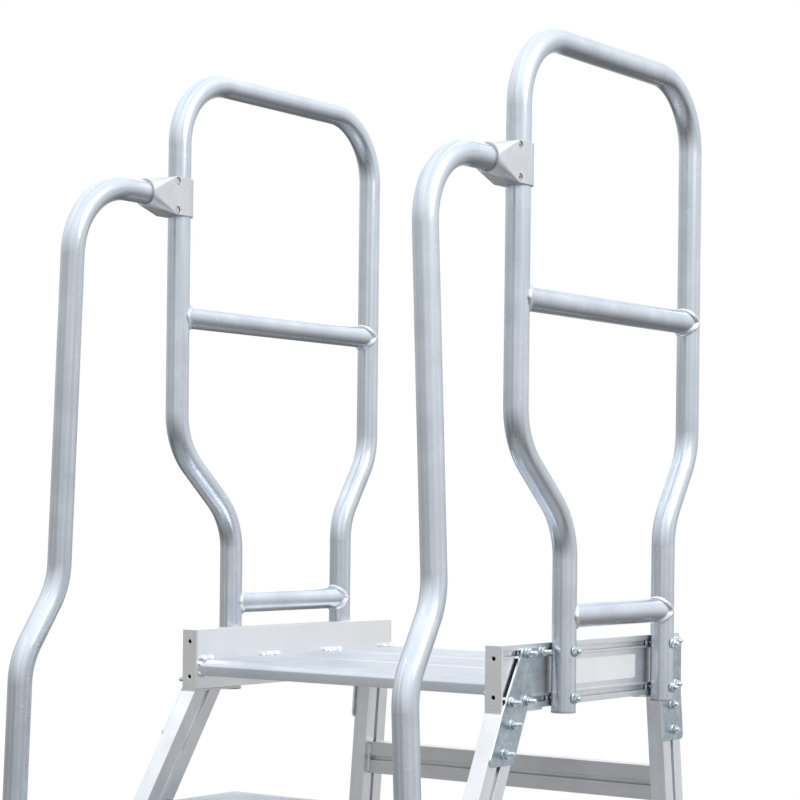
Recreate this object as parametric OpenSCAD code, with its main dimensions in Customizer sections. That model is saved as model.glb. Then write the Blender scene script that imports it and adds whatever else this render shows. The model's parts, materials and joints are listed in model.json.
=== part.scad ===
// Rolling step ladder: a platform at the head of a sloping flight of treads,
// with a tube guard on each side, two grab rails and a base on braked castors.
// X runs across the ladder, the climbing side faces -Y and Z = 0 is the floor.

/* [Platform] */
// Height of the deck above the floor
deck_h = 1440; // [1320:20:1680]
// Clear width between the side beams
deck_w = 600; // [520:10:760]
// Length of a side beam with its end plates
beam_len = 570; // [560:5:640]
// Height of a side beam
beam_h = 103; // [98:1:120]
// Width of a side beam
beam_w = 32; // [30:1:40]
// Height of the beam top above the deck
kerb_h = 52; // [44:1:60]
// Thickness of a beam end plate
end_plate_t = 4; // [3:0.5:6]
// Hole to hole distance in an end plate
end_hole_gap = 61; // [40:1:66]
// Diameter of the holes in an end plate
end_hole_d = 7; // [5:0.5:8]
// Distance of the deck nosing behind the beam ends
nose_setback = 5; // [0:1:20]
// Height of a deck plank
plank_h = 27; // [22:1:34]
// Depth of the nosing's sloped face
nose_w = 11; // [8:1:13]
// Height of the nosing's sloped face
nose_h = 12; // [9:1:14]
// Depth of the grooves in planks and treads
groove_deep = 0.8; // [0.4:0.1:1.2]
// Distance between neighbouring grooves
groove_pitch = 7; // [6:0.5:12]
// Width of a groove
groove_w = 3; // [2:0.5:4]

/* [Profiles] */
// Wall of the beams, stiles, planks and bars
wall = 3; // [2:0.5:3.5]
// Width of a slot's mouth
slot_w = 8.6; // [8.2:0.1:9]
// Width inside a slot
slot_inside_w = 13; // [12.6:0.1:14]
// Depth inside a slot
slot_deep = 5.5; // [5:0.5:6]
// Thickness of the lips beside a slot's mouth
slot_lip = 2.2; // [1.8:0.2:2.6]
// Distance of a beam slot's centre from the beam's edge
slot_inset = 13.6; // [13:0.2:14]
// Height of the band that holds a beam slot
slot_band = 22; // [22:0.5:24]
// Depth of the recess between the two bands
web_recess = 4; // [2:0.5:5]
// Depth of a stile, leg or brace
leg_d = 60; // [54:1:70]
// Thickness of a stile, leg or brace
leg_w = 30; // [26:1:32]

/* [Flight and legs] */
// Slope of the flight from the floor
slope = 60; // [58:0.5:64]
// Outward splay of stiles and legs from upright
splay = 4; // [1:0.5:5]
// Distance of the rear legs in front of the beam ends
leg_inset = 5; // [0:1:10]
// Distance of a tread's nosing in front of the stiles
tread_out = 5.5; // [0:0.5:20]
// Depth of a tread from front to back
tread_d = 240; // [200:5:250]
// Height of a tread
tread_h = 30; // [26:1:34]
// Thickness of the plates on top of the stiles and legs
head_plate_t = 4; // [3:0.5:5]
// Length of a head plate
head_plate_len = 130; // [110:1:140]
// Height of the upper rear brace above the floor
rear_brace_top_z = 1258; // [1180:1:1280]
// Height of the lower rear brace above the floor
rear_brace_low_z = 560; // [450:10:700]
// Height of the side braces above the floor
side_brace_z = 700; // [550:10:850]
// Height of a side brace
side_brace_h = 40; // [30:1:50]
// Thickness of a side brace
side_brace_w = 20; // [16:1:25]

/* [Gusset plates] */
// Thickness of a gusset plate
gusset_t = 4; // [3:0.5:5]
// Width of a gusset plate
gusset_w = 70; // [66:1:74]
// Distance of a gusset plate's top below the beam top
gusset_top_gap = 6; // [3:1:7]
// Length of a gusset plate below the beam
gusset_drop = 84; // [80:1:100]
// Radius of a gusset plate's corners
gusset_r = 10; // [4:1:12]
// Half the distance between the front gusset's bolts in the beam
front_bolt_half = 21; // [18:1:23]
// Half the distance between the rear gusset's bolts in the beam
rear_bolt_half = 14; // [14:1:20]
// Distance of a leg's upper bolt below the beam
upper_bolt_drop = 22; // [16:1:30]
// Distance of a leg's lower bolt below the beam
lower_bolt_drop = 66; // [50:1:70]
// Thickness of a T head on a slot bolt
bolt_head_t = 4; // [3:0.5:4.5]
// Length of a T head along its slot
bolt_head_len = 26; // [14:1:26]
// Diameter of the slot bolts
bolt_d = 8; // [7:0.5:8]
// Length of thread standing past a nut
bolt_stub = 5; // [2:1:8]
// The same on the front gusset plates, whose bolts are longer
front_stub = 12; // [4:1:14]

/* [Guards] */
// Diameter of the guard and grab tubes
tube_d = 40; // [34:1:42]
// Wall of the tubes
tube_wall = 2; // [1.5:0.5:3]
// Radius of the tube bends at the tube's centre
bend_r = 120; // [80:5:124]
// Height of the top rail above the beam top
top_rail_z = 964; // [900:1:1100]
// Height of the mid rail above the beam top
mid_rail_z = 545; // [460:1:600]
// Height of the lower rail above the beam top
low_rail_z = 43; // [36:1:70]
// Distance of the front post behind the beam's front end
front_post_inset = 1; // [-5:1:11]
// Distance of the rear post in front of the beam's rear end
rear_post_inset = 17; // [-5:1:23]
// Distance of the front foot behind the beam's front end
front_foot_inset = 151; // [149:1:159]
// Distance of the rear foot in front of the beam's rear end
rear_foot_inset = 98; // [95:1:109]
// Slant of the front set-back bend, an angle whose sine and cosine end after six places
front_slant = 48.7806; // [41.2194, 48.7806, 53.1301]
// Slant of the rear set-back bend, as above
rear_slant = 32.5204; // [32.5204, 36.8699]
// Height of the front set-back bend's lower end above the beam top
front_bend_z = 135; // [95:1:150]
// Height of the rear set-back bend's lower end above the beam top
rear_bend_z = 155; // [95:1:180]
// Length of a foot below the beam
foot_tail = 7; // [4:1:20]

/* [Grab rails] */
// Height of the clamps above the beam top
clamp_up = 750; // [700:1:780]
// Distance of the upper upright from the guard post
grab_reach = 256; // [248:1:300]
// Step forward of the lower upright
grab_step = 79; // [60:1:90]
// Slant of the step, as above
grab_slant = 32.5204; // [32.5204, 36.8699]
// Length of the upper upright between its bends
grab_upright = 515; // [450:1:560]
// Outward lean of the grab rail
grab_lean = 2.5; // [2:0.1:3]
// Length of tube below the middle of the lower bracket
grab_tail = 45; // [32:1:80]
// Height of a clamp at the post
clamp_h = 66; // [62:1:74]
// Distance of the clamp's mouth from the post's axis
clamp_reach = 90; // [80:1:110]
// Wall of a clamp over the tube
clamp_wall = 4; // [3:0.5:6]
// Distance of the clamp screws from the post's axis
clamp_screw_y = 30; // [29:1:40]
// Height of the bracket ring
ring_h = 50; // [40:1:60]
// Wall of the bracket ring
ring_wall = 5; // [4:0.5:8]
// Thickness of the bracket foot
bracket_foot_t = 6; // [4:0.5:8]
// Distance of the bracket's bolts from its middle
bracket_bolt = 38; // [34:1:44]

/* [Label] */
// Length of the blank label
label_len = 250; // [80:1:254]
// Height of the blank label
label_h = 40; // [20:1:44]
// Thickness of the blank label
label_t = 0.4; // [0.2:0.1:1]

/* [Base] */
// Width of a crossbar from front to back
bar_w = 80; // [72:1:90]
// Height of a crossbar
bar_h = 40; // [30:1:50]
// Length of a crossbar
bar_len = 920; // [900:10:1200]
// Thickness of a crossbar end cap
bar_cap_t = 4; // [2:1:8]
// Thickness of a base rail
base_rail_w = 30; // [24:1:40]

/* [Castors] */
// Height of a castor from the floor to its plate's top
castor_h = 155; // [153:1:170]
// Distance of a castor's swivel axis from the crossbar's end
castor_inset = 62; // [56:1:70]
// Diameter of a wheel
wheel_d = 125; // [110:1:125]
// Width of a tyre
tyre_w = 36; // [30:1:38]
// Thickness of a tyre
tyre_t = 12.5; // [8:0.5:15]
// Length of a wheel hub
hub_w = 42; // [40:1:44]
// Distance of the wheel's axis behind the swivel axis
trail = 40; // [36:1:44]
// Thickness of the fork and the plate
castor_t = 3; // [2.5:0.5:4]
// Length of a castor plate
castor_plate_len = 105; // [102:1:110]
// Diameter of the wheel axle
axle_d = 12; // [10:1:14]
// Diameter of the kingpin
kingpin_d = 12; // [10:1:14]
// Travel of a brake pedal in degrees, until its shoe meets the tyre
pedal_travel = 18; // [14:1:20]

/* [Hidden] */
$fn = 64;
// Clearances: welded copes, sliding fits and turning pieces
cope_gap = 0.1;
fit_gap = 0.3;
// Overshoot of cuts, and of a bend before it is cut off
cut = 1;
bend_spare = 10;
// Longer than the ladder
far = 2 * deck_h;

// Platform
beam_top = deck_h + kerb_h;
beam_bottom = beam_top - beam_h;
beam_face = deck_w / 2 + beam_w;
nose_y = nose_setback - beam_len / 2;
plank_d = (beam_len - nose_setback) / 3;
nose_bulge = 1.2;
web_z = beam_top - beam_h / 2;
// Room cut into the beam behind an end plate's hole
end_room_r = end_hole_d / 2 + 1;
end_room_deep = 30;

// Stiles and legs: both wide faces carry a slot, and the outer face starts
// at the beam's lower outer edge and runs down along the splay
rake = 90 - slope;
stile_y = leg_d / 2 / cos(rake) - beam_len / 2;
leg_y = beam_len / 2 - leg_inset - leg_d / 2;
rake_run = tan(rake) / cos(splay);
function face_x(z) = beam_face + (beam_bottom - z) * tan(splay);
function inner_x(z) = face_x(z) - leg_w / cos(splay);
function stile_at(z) = stile_y - rake_run * (beam_bottom - z);

// Flight
tread_count = 5;
rise = deck_h / (tread_count + 1);
function tread_z(i) = deck_h - rise * i;
function tread_nose(i) = stile_at(tread_z(i)) - leg_d / 2 / cos(rake) - tread_out;

// Base
bar_top = castor_h + bar_h;
front_bar_y = stile_at(bar_top);
rear_bar_y = leg_y;
castor_x = bar_len / 2 - castor_inset;
base_rail_x = face_x(bar_top) - leg_w / 2;

// Castor, seen from its swivel axis with the wheel trailing towards +Y
wheel_r = wheel_d / 2;
fork_gap = hub_w / 2 + 1;
plate_under = castor_h - castor_t;
cup_h = 5;
cup_r = 27;
fork_top = plate_under - cup_h - fit_gap;
fork_disc_t = 5.7;
fork_disc_r = 32;
kingpin_head_r = 10;
kingpin_head_t = 3;
axle_head_r = 9;
axle_head_t = 5;
plate_bolt_inset = [14.5, 13];
plate_bolt = [castor_plate_len / 2, bar_w / 2] - plate_bolt_inset;
plate_bolt_head_t = 5;
hub_wall = 10;
wheel_web_t = 8;
rim_t = 6;
tyre_shoulder = 5;
ear_front = 20;
ear_front_h = 18;
ear_back = 24;
ear_r = 14;
ear_in = 3;
pivot_d = 7;
pivot_lug = 8;
pivot_hub_r = 5.5;
pivot_back = 22;
pivot_up = 66;
pivot_y = trail + pivot_back;
pivot_z = wheel_r + pivot_up;
pedal_w = 2 * fork_gap - 4;
pedal_t = 5;
pedal_plate_end = 30;
pedal_reach = 66;
pad_w = pedal_w + 8;
pad_drop = 7;
shoe_w = 28;
shoe_start = 14;
shoe_deep = 16;
pedal_end_y = pivot_y + pedal_reach;

// The ladder stands centred over the origin
front_end = front_bar_y - bar_w / 2;
rear_end = rear_bar_y + pedal_end_y;
origin_y = -(front_end + rear_end) / 2;

// Fasteners
nut_flange_r = 9;
nut_flange_t = 1.6;
nut_h = 8;
nut_across_corners = 15;
hole_r = bolt_d / 2 + fit_gap;
leg_bolt_drops = [upper_bolt_drop, lower_bolt_drop];
upper_slot_z = beam_top - slot_inset;
lower_slot_z = beam_bottom + slot_inset;

// Tubes
tube_r = tube_d / 2;
guard_x = beam_face + tube_r;
foot_bottom = beam_bottom - foot_tail;
clamp_z = beam_top + clamp_up;
function step_run(offset, angle) =
    (offset - 2 * bend_r * (1 - cos(angle))) / sin(angle);
function step_rise(offset, angle) =
    2 * bend_r * sin(angle) + step_run(offset, angle) * cos(angle);
front_post = beam_len / 2 - front_post_inset;
rear_post = beam_len / 2 - rear_post_inset;
front_foot = beam_len / 2 - front_foot_inset;
rear_foot = beam_len / 2 - rear_foot_inset;
front_step = front_post - front_foot;
rear_step = rear_post - rear_foot;
hoop_corner_z = beam_top + top_rail_z - bend_r;
guard_path = [
    [beam_top + front_bend_z - foot_bottom, -front_slant],
    [step_run(front_step, front_slant), front_slant],
    [hoop_corner_z - beam_top - front_bend_z - step_rise(front_step, front_slant), 90],
    [front_post + rear_post - 2 * bend_r, 90],
    [hoop_corner_z - beam_top - rear_bend_z - step_rise(rear_step, rear_slant), rear_slant],
    [step_run(rear_step, rear_slant), -rear_slant],
    [beam_top + rear_bend_z - foot_bottom, 0]
];

// Grab rail: its lower upright meets the stile where their middles cross
grab_start = tube_r + clamp_wall;
grab_out = grab_reach + grab_step;
grab_down = ((stile_y + front_post + grab_out) / rake_run + clamp_z - beam_bottom)
    / cos(grab_lean);
bracket_z = clamp_z - grab_down * cos(grab_lean);
bracket_x = guard_x + grab_down * sin(grab_lean);
grab_path = [
    [grab_reach - bend_r - grab_start, -90],
    [grab_upright, grab_slant],
    [step_run(grab_step, grab_slant), -grab_slant],
    [grab_down + grab_tail - bend_r - grab_upright - step_rise(grab_step, grab_slant), 0]
];
plug_in = 14;
plug_t = 3;
cap_in = 8;
clamp_half = tube_r + clamp_wall;
clamp_mouth_t = 6;
clamp_apex_half = 3;
clamp_corner_past = 2;
clamp_screw_z = 25;
clamp_screw_r = 3;
clamp_screw_head_r = 6;
clamp_screw_head_t = 4;
clamp_screw_sunk = 2;
clamp_grip = clamp_half - clamp_screw_head_t - clamp_screw_sunk;
clamp_socket_floor = 2;
stem_r = 13;
bracket_foot_w = 34;
bracket_foot_len = 2 * (bracket_bolt + 14);

// Helpers

// Moves a piece from the platform's middle to the ladder's own origin
module stand() {
    translate([0, origin_y, 0]) children();
}

// The left side mirrors the right side
module left() {
    mirror([1, 0, 0]) children();
}

module both_sides() {
    children();
    left() children();
}

// Frame of a right-hand stile or leg: X = 0 is its outer face
module on_leg(y) {
    translate([beam_face, y, beam_bottom]) rotate([0, -splay, 0]) children();
}

module on_stile(down) {
    on_leg(stile_y) rotate([-rake, 0, 0]) translate([0, 0, -down]) children();
}

// Extrudes an outline drawn in Y and Z along X
module along_x(from_x, to_x) {
    translate([from_x, 0, 0]) rotate([90, 0, 90])
        linear_extrude(to_x - from_x) children();
}

// Round hole or pin along X
module pin_x(r, from_x, to_x) {
    translate([from_x, 0, 0]) rotate([0, 90, 0]) cylinder(r = r, h = to_x - from_x);
}

// Rectangular tube with its first corner at the origin, open along one axis
module box_tube(size, axis) {
    inner = [for (i = [0:2]) i == axis ? size[i] + 2 * cut : size[i] - 2 * wall];
    offset_in = [for (i = [0:2]) i == axis ? -cut : wall];
    difference() {
        cube(size);
        translate(offset_in) cube(inner);
    }
}

module tube_ring() {
    difference() {
        circle(tube_r);
        circle(tube_r - tube_wall);
    }
}

// Turns about the centre of a bend that starts at the origin
module turned(angle) {
    swing = angle < 0 ? -bend_r : bend_r;
    translate([0, swing, 0]) rotate([-angle, 0, 0]) translate([0, -swing, 0]) children();
}

// A tube that follows straights and bends in the YZ plane, from Z upwards. Each
// bend is cut off where the next straight starts, so both share that plane.
module bent_tube(path, i = 0) {
    run = path[i][0];
    angle = path[i][1];
    linear_extrude(run) tube_ring();
    if (i < len(path) - 1) translate([0, 0, run]) {
        intersection() {
            mirror([0, angle < 0 ? 1 : 0, 0])
                translate([0, bend_r, 0]) rotate([90, 0, -90])
                    rotate_extrude(angle = abs(angle) + bend_spare)
                        translate([bend_r, 0]) tube_ring();
            turned(angle) translate([-2 * bend_r, -2 * bend_r, -4 * bend_r])
                cube(4 * bend_r);
        }
        turned(angle) bent_tube(path, i + 1);
    }
}

// Points of a round corner at p, between its neighbours a and b
function unit(v) = v / norm(v);
function round_corner(a, p, b, r, n = 6) =
    let (u = unit(a - p), w = unit(b - p), half = acos(u * w) / 2,
        c = p + unit(u + w) * r / sin(half),
        s = p + u * r / tan(half) - c, e = p + w * r / tan(half) - c)
    [for (i = [0:n]) c + r * unit(s * (n - i) + e * i)];

// Cut of a slot, from a face at X = 0 into -X
module slot_cut() {
    translate([-slot_lip - cut, -slot_w / 2]) square([slot_lip + 2 * cut, slot_w]);
    translate([-slot_lip - slot_deep, -slot_inside_w / 2])
        square([slot_deep, slot_inside_w]);
}

// Profile of a stile, leg or rear brace
module leg_profile() {
    core_w = leg_w - 2 * (slot_lip + slot_deep + wall);
    room_d = leg_d / 2 - slot_inside_w / 2 - 2 * wall;
    difference() {
        translate([-leg_w, -leg_d / 2]) square([leg_w, leg_d]);
        slot_cut();
        translate([-leg_w, 0]) mirror([1, 0]) slot_cut();
        translate([-leg_w / 2 - core_w / 2, -slot_inside_w / 2])
            square([core_w, slot_inside_w]);
        for (s = [-1, 1])
            translate([wall - leg_w, s > 0 ? slot_inside_w / 2 + wall
                    : -slot_inside_w / 2 - wall - room_d])
                square([leg_w - 2 * wall, room_d]);
    }
}

// Sloped face of a nosing, slightly bulged, from its lower to its upper edge
function nosing(n = 6) = [for (i = [0:n], t = i / n)
    [nose_w * t, nose_h * (t - 1)] + 4 * nose_bulge * t * (1 - t) * unit([-nose_h, nose_w])];

// Profile of a plank or tread in Y and Z, with its top at Z = 0
module plank_profile(depth, h, nosed) {
    grooves = floor((depth - 2 * nose_w) / groove_pitch);
    web = depth / 2 - wall / 2;
    // The wall under the sloped face, measured straight down
    drop = wall * norm([nose_w, nose_h]) / nose_w;
    slope_low = nosed ? nose_h * (wall / nose_w - 1) - drop : -wall;
    slope_end = nosed ? (nose_h - wall + drop) * nose_w / nose_h : wall;
    difference() {
        polygon(concat([[0, -h]], nosed ? nosing() : [[0, 0]], [[depth, 0], [depth, -h]]));
        polygon([[wall, -h - cut], [wall, slope_low], [slope_end, -wall], [web, -wall],
            [web, -h - cut]]);
        translate([web + wall, -h - cut]) square([depth / 2 - 1.5 * wall, h - wall + cut]);
        for (i = [0:grooves - 1])
            translate([nose_w + groove_pitch * (i + 0.5), -groove_deep])
                square([groove_w, groove_deep + cut]);
    }
}

// Space between the inner faces of the splayed legs, from the floor to the beams
module between_legs() {
    half_top = inner_x(beam_bottom);
    half_low = inner_x(0);
    rotate([90, 0, 0]) translate([0, 0, -far]) linear_extrude(2 * far)
        polygon([[-half_low, 0], [half_low, 0], [half_top, beam_bottom],
            [-half_top, beam_bottom]]);
}

// Space on the right between the base and the head plates
module leg_height() {
    translate([0, -far, bar_top]) cube([far, 2 * far, beam_bottom - head_plate_t - bar_top]);
}

// Platform

module side_beam() {
    room_w = beam_w - web_recess - 2 * wall;
    small_w = beam_w - slot_lip - slot_deep - 2 * wall;
    small_h = slot_band - 1.5 * wall;
    half = beam_len / 2 - end_plate_t;
    difference() {
        translate([deck_w / 2, half, beam_bottom]) rotate([90, 0, 0])
            linear_extrude(2 * half) difference() {
                square([beam_w, beam_h]);
                translate([beam_w - web_recess, slot_band])
                    square([web_recess + cut, beam_h - 2 * slot_band]);
                translate([wall, slot_band + wall / 2])
                    square([room_w, beam_h - 2 * slot_band - wall]);
                for (z = [wall, beam_h - wall - small_h])
                    translate([wall, z]) square([small_w, small_h]);
                for (z = [slot_inset, beam_h - slot_inset])
                    translate([beam_w, z]) slot_cut();
            }
        for (s = [-1, 1], z = [-1, 1])
            translate([deck_w / 2 + beam_w / 2, s * half, web_z + z * end_hole_gap / 2])
                rotate([90, 0, 0]) cylinder(r = end_room_r, h = 2 * end_room_deep, center = true);
    }
}

module end_plate(y) {
    difference() {
        translate([deck_w / 2, y, beam_bottom]) cube([beam_w, end_plate_t, beam_h]);
        for (z = [-1, 1])
            translate([deck_w / 2 + beam_w / 2, y - cut, web_z + z * end_hole_gap / 2])
                rotate([-90, 0, 0]) cylinder(d = end_hole_d, h = end_plate_t + 2 * cut);
    }
}

module beam_end_plates() {
    color("lightgray") stand() both_sides()
        for (y = [-beam_len / 2, beam_len / 2 - end_plate_t]) end_plate(y);
}

module deck_plank(i) {
    translate([0, nose_y + i * plank_d, deck_h]) along_x(-deck_w / 2, deck_w / 2)
        plank_profile(plank_d, plank_h, i == 0);
}

module side_beam_left() { color("silver") stand() left() side_beam(); }
module side_beam_right() { color("silver") stand() side_beam(); }
module deck_plank_front() { color("gainsboro") stand() deck_plank(0); }
module deck_plank_middle() { color("lightgray") stand() deck_plank(1); }
module deck_plank_rear() { color("gainsboro") stand() deck_plank(2); }

// Flight and legs

module front_stile() {
    length = (beam_bottom - bar_top) / cos(rake) / cos(splay) + 2 * leg_d;
    intersection() {
        on_stile(length - leg_d) linear_extrude(length) leg_profile();
        leg_height();
    }
}

module rear_leg() {
    length = (beam_bottom - bar_top) / cos(splay) + 2 * leg_w;
    intersection() {
        on_leg(leg_y) translate([0, 0, leg_w - length]) linear_extrude(length) leg_profile();
        leg_height();
    }
}

// Flat plate with a round end between a beam and the top of a stile or leg
module head_plate() {
    straight = head_plate_len - beam_w / 2;
    translate([deck_w / 2, -beam_len / 2, beam_bottom - head_plate_t])
        cube([beam_w, straight, head_plate_t]);
    translate([deck_w / 2 + beam_w / 2, straight - beam_len / 2, beam_bottom - head_plate_t])
        cylinder(d = beam_w, h = head_plate_t);
}

module leg_head_plates() {
    color("silver") stand() both_sides() {
        head_plate();
        mirror([0, 1, 0]) head_plate();
    }
}

module tread(i) {
    color("gainsboro") stand() intersection() {
        translate([0, tread_nose(i), tread_z(i)])
            along_x(-face_x(0), face_x(0)) plank_profile(tread_d, tread_h, true);
        between_legs();
    }
}

module rear_brace(z) {
    intersection() {
        translate([0, leg_y + leg_w / 2, z]) rotate([0, 0, 90]) rotate([90, 0, 0])
            translate([0, 0, -face_x(0)]) linear_extrude(2 * face_x(0)) leg_profile();
        between_legs();
    }
}

// A side brace runs from the back of a stile to the front of a rear leg
module side_brace() {
    down = (beam_bottom - side_brace_z) / cos(splay);
    back = stile_y + leg_d / 2 / cos(rake);
    front = leg_y - leg_d / 2;
    side = (leg_w - side_brace_w) / 2;
    on_leg(0) difference() {
        along_x(-side - side_brace_w, -side) polygon([
            for (z = [-down, -down - side_brace_h]) [back + z * tan(rake), z],
            [front, -down - side_brace_h], [front, -down]]);
        along_x(wall - side - side_brace_w, -side - wall)
            translate([back - 2 * down, wall - down - side_brace_h])
                square([front - back + 2 * down + cut, side_brace_h - 2 * wall]);
    }
}

module side_braces() { color("silver") stand() both_sides() side_brace(); }

module front_stile_left() { color("silver") stand() left() front_stile(); }
module front_stile_right() { color("silver") stand() front_stile(); }
module rear_leg_left() { color("silver") stand() left() rear_leg(); }
module rear_leg_right() { color("silver") stand() rear_leg(); }
module tread_1() { tread(1); }
module tread_2() { tread(2); }
module tread_3() { tread(3); }
module tread_4() { tread(4); }
module tread_5() { tread(5); }
module rear_brace_upper() { color("silver") stand() rear_brace(rear_brace_top_z - leg_d / 2); }
module rear_brace_lower() { color("silver") stand() rear_brace(rear_brace_low_z - leg_d / 2); }

// Gusset plates: the upper part lies on the beam, and the lower part follows
// the splay. The outline leans with the given slant from upright.

function gusset_line(z, slant) = (z - beam_bottom) * tan(slant);

module bent_strip(top, low) {
    bend_z = beam_bottom + gusset_t * tan(splay / 2);
    outer = face_x(low) + gusset_t / cos(splay);
    rotate([90, 0, 0]) translate([0, 0, -far]) linear_extrude(2 * far)
        polygon([[beam_face, top], [beam_face + gusset_t, top], [beam_face + gusset_t, bend_z],
            [outer, low], [face_x(low), low], [beam_face, beam_bottom]]);
}

module gusset(y, slant, bolt_half) {
    top = beam_top - gusset_top_gap;
    low = beam_bottom - gusset_drop;
    // Corners: front and back at the top, back and front at the bottom
    p = [for (c = [[-1, top], [1, top], [1, low], [-1, low]])
        [y + gusset_line(c[1], slant) + c[0] * gusset_w / 2, c[1]]];
    outline = concat([p[0]], [for (i = [1:3], q = round_corner(p[i - 1], p[i], p[(i + 1) % 4],
        gusset_r)) q]);
    difference() {
        intersection() {
            bent_strip(top + cut, low - cut);
            along_x(0, far) polygon(outline);
        }
        for (z = [upper_slot_z, lower_slot_z], s = [-1, 1])
            translate([beam_face, y + gusset_line(z, slant) + s * bolt_half, z])
                pin_x(hole_r, -cut, gusset_t + cut);
        for (d = leg_bolt_drops)
            on_leg(y) translate([0, -d * tan(slant), -d]) pin_x(hole_r, -cut, gusset_t + cut);
    }
}

module gusset_front() { gusset(stile_y, rake, front_bolt_half); }
module gusset_rear() { gusset(leg_y, 0, rear_bolt_half); }
module gusset_front_left() { color("lightsteelblue") stand() left() gusset_front(); }
module gusset_front_right() { color("lightsteelblue") stand() gusset_front(); }
module gusset_rear_left() { color("lightsteelblue") stand() left() gusset_rear(); }
module gusset_rear_right() { color("lightsteelblue") stand() gusset_rear(); }

// Slot bolts and flange nuts: X = 0 is the slotted face

module slot_bolt() {
    translate([-slot_lip - bolt_head_t, -$head[0] / 2, -$head[1] / 2])
        cube([bolt_head_t, $head[0], $head[1]]);
    pin_x(bolt_d / 2, -slot_lip - cut, $grip + nut_h + $stub);
}

module flange_nut(grip) {
    difference() {
        union() {
            pin_x(nut_flange_r, grip, grip + nut_flange_t);
            translate([grip, 0, 0]) rotate([0, 90, 0])
                cylinder(d = nut_across_corners, h = nut_h, $fn = 6);
        }
        pin_x(bolt_d / 2 + cope_gap, grip - cut, grip + nut_h + cut);
    }
}

// Places for a bolt or a nut on the right side. The child takes its grip from $grip,
// the thread past its nut from $stub, and its head's size in Y and Z from $head.
module at_bolts() {
    along_y = [bolt_head_len, slot_inside_w - 1];
    along_z = [slot_inside_w - 1, bolt_head_len];
    for (g = [[stile_y, rake, front_bolt_half, front_stub],
            [leg_y, 0, rear_bolt_half, bolt_stub]]) {
        $grip = gusset_t;
        $stub = g[3];
        for (z = [upper_slot_z, lower_slot_z], s = [-1, 1]) {
            $head = along_y;
            translate([beam_face, g[0] + gusset_line(z, g[1]) + s * g[2], z]) children();
        }
        for (d = leg_bolt_drops) {
            $head = along_z;
            on_leg(g[0]) translate([0, -d * tan(g[1]), -d]) rotate([-g[1], 0, 0]) children();
        }
    }
    for (y = [-front_foot, rear_foot], z = [upper_slot_z, lower_slot_z]) {
        $grip = tube_d;
        $stub = bolt_stub;
        $head = along_y;
        translate([beam_face, y, z]) children();
    }
    for (s = [-1, 1]) {
        $grip = bracket_foot_t;
        $stub = bolt_stub;
        $head = along_z;
        on_stile(bracket_down() + s * bracket_bolt) children();
    }
}

module slot_bolts() {
    color("gainsboro") stand() both_sides() at_bolts() slot_bolt();
}

module flange_nuts() {
    color("white") {
        stand() both_sides() at_bolts() flange_nut($grip);
        at_castors() at_plate_bolts() rotate([0, -90, 0]) flange_nut(castor_t + wall);
    }
}

// Guards

module guard_hoop() {
    difference() {
        translate([guard_x, -front_foot, foot_bottom]) bent_tube(guard_path);
        for (y = [-front_foot, rear_foot], z = [upper_slot_z, lower_slot_z])
            translate([beam_face, y, z]) pin_x(hole_r, -cut, tube_d + cut);
    }
}

// A rail between two posts, its ends coped to the posts
module guard_rail(from_y, to_y, z) {
    difference() {
        translate([guard_x, from_y, z]) rotate([-90, 0, 0]) difference() {
            cylinder(r = tube_r, h = to_y - from_y);
            translate([0, 0, -cut]) cylinder(r = tube_r - tube_wall, h = to_y - from_y + 2 * cut);
        }
        for (y = [from_y, to_y])
            translate([guard_x, y, z - tube_d])
                cylinder(r = tube_r + cope_gap, h = 2 * tube_d);
    }
}

module guard_hoop_left() { color("aliceblue") stand() left() guard_hoop(); }
module guard_hoop_right() { color("aliceblue") stand() guard_hoop(); }

module guard_mid_rails() {
    color("aliceblue") stand() both_sides()
        guard_rail(-front_post, rear_post, beam_top + mid_rail_z);
}

module guard_lower_rails() {
    color("aliceblue") stand() both_sides()
        guard_rail(-front_foot, rear_foot, beam_top + low_rail_z);
}

// Grab rails

// Frame of the right grab rail: the origin is the clamp's middle on the post
module on_clamp() {
    translate([guard_x, -front_post, clamp_z]) children();
}

module on_grab() {
    on_clamp() rotate([0, -grab_lean, 0]) children();
}

function bracket_down() = (beam_bottom - bracket_z) / cos(splay) / cos(rake);

module grab_rail() {
    on_grab() translate([0, -grab_start, 0]) rotate([90, 0, 0]) bent_tube(grab_path);
}

module grab_rail_left() { color("aliceblue") stand() left() grab_rail(); }
module grab_rail_right() { color("aliceblue") stand() grab_rail(); }

// Half a clamp, on the +X side of its split: round the post, then two flat faces
// that narrow towards a round mouth
module clamp_half_body() {
    h = clamp_h / 2;
    corner = -clamp_screw_y - clamp_corner_past;
    mouth = clamp_mouth_t - clamp_reach;
    flat = [[0, -h], [0, h], [corner, h], [mouth, clamp_apex_half], [mouth, -clamp_apex_half],
        [corner, -h]];
    difference() {
        intersection() {
            hull() {
                along_x(-clamp_half, clamp_half) polygon(flat);
                translate([0, 0, -h]) cylinder(r = clamp_half, h = clamp_h);
                translate([0, mouth, 0]) rotate([90, 0, 0])
                    cylinder(r = clamp_half, h = clamp_mouth_t, $fn = 48);
            }
            translate([cope_gap, -2 * clamp_reach, -clamp_h])
                cube([2 * clamp_half, 4 * clamp_reach, 2 * clamp_h]);
        }
        translate([0, 0, -clamp_h]) cylinder(r = tube_r + cope_gap, h = 2 * clamp_h);
        rotate([90, 0, 0]) cylinder(r = tube_r + cope_gap, h = 2 * clamp_reach);
        for (s = [-1, 1]) translate([0, -clamp_screw_y, s * clamp_screw_z]) {
            pin_x(clamp_screw_r + fit_gap, -cut, clamp_half + cut);
            pin_x(clamp_screw_head_r + fit_gap, clamp_grip, clamp_half + cut);
        }
    }
}

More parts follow.
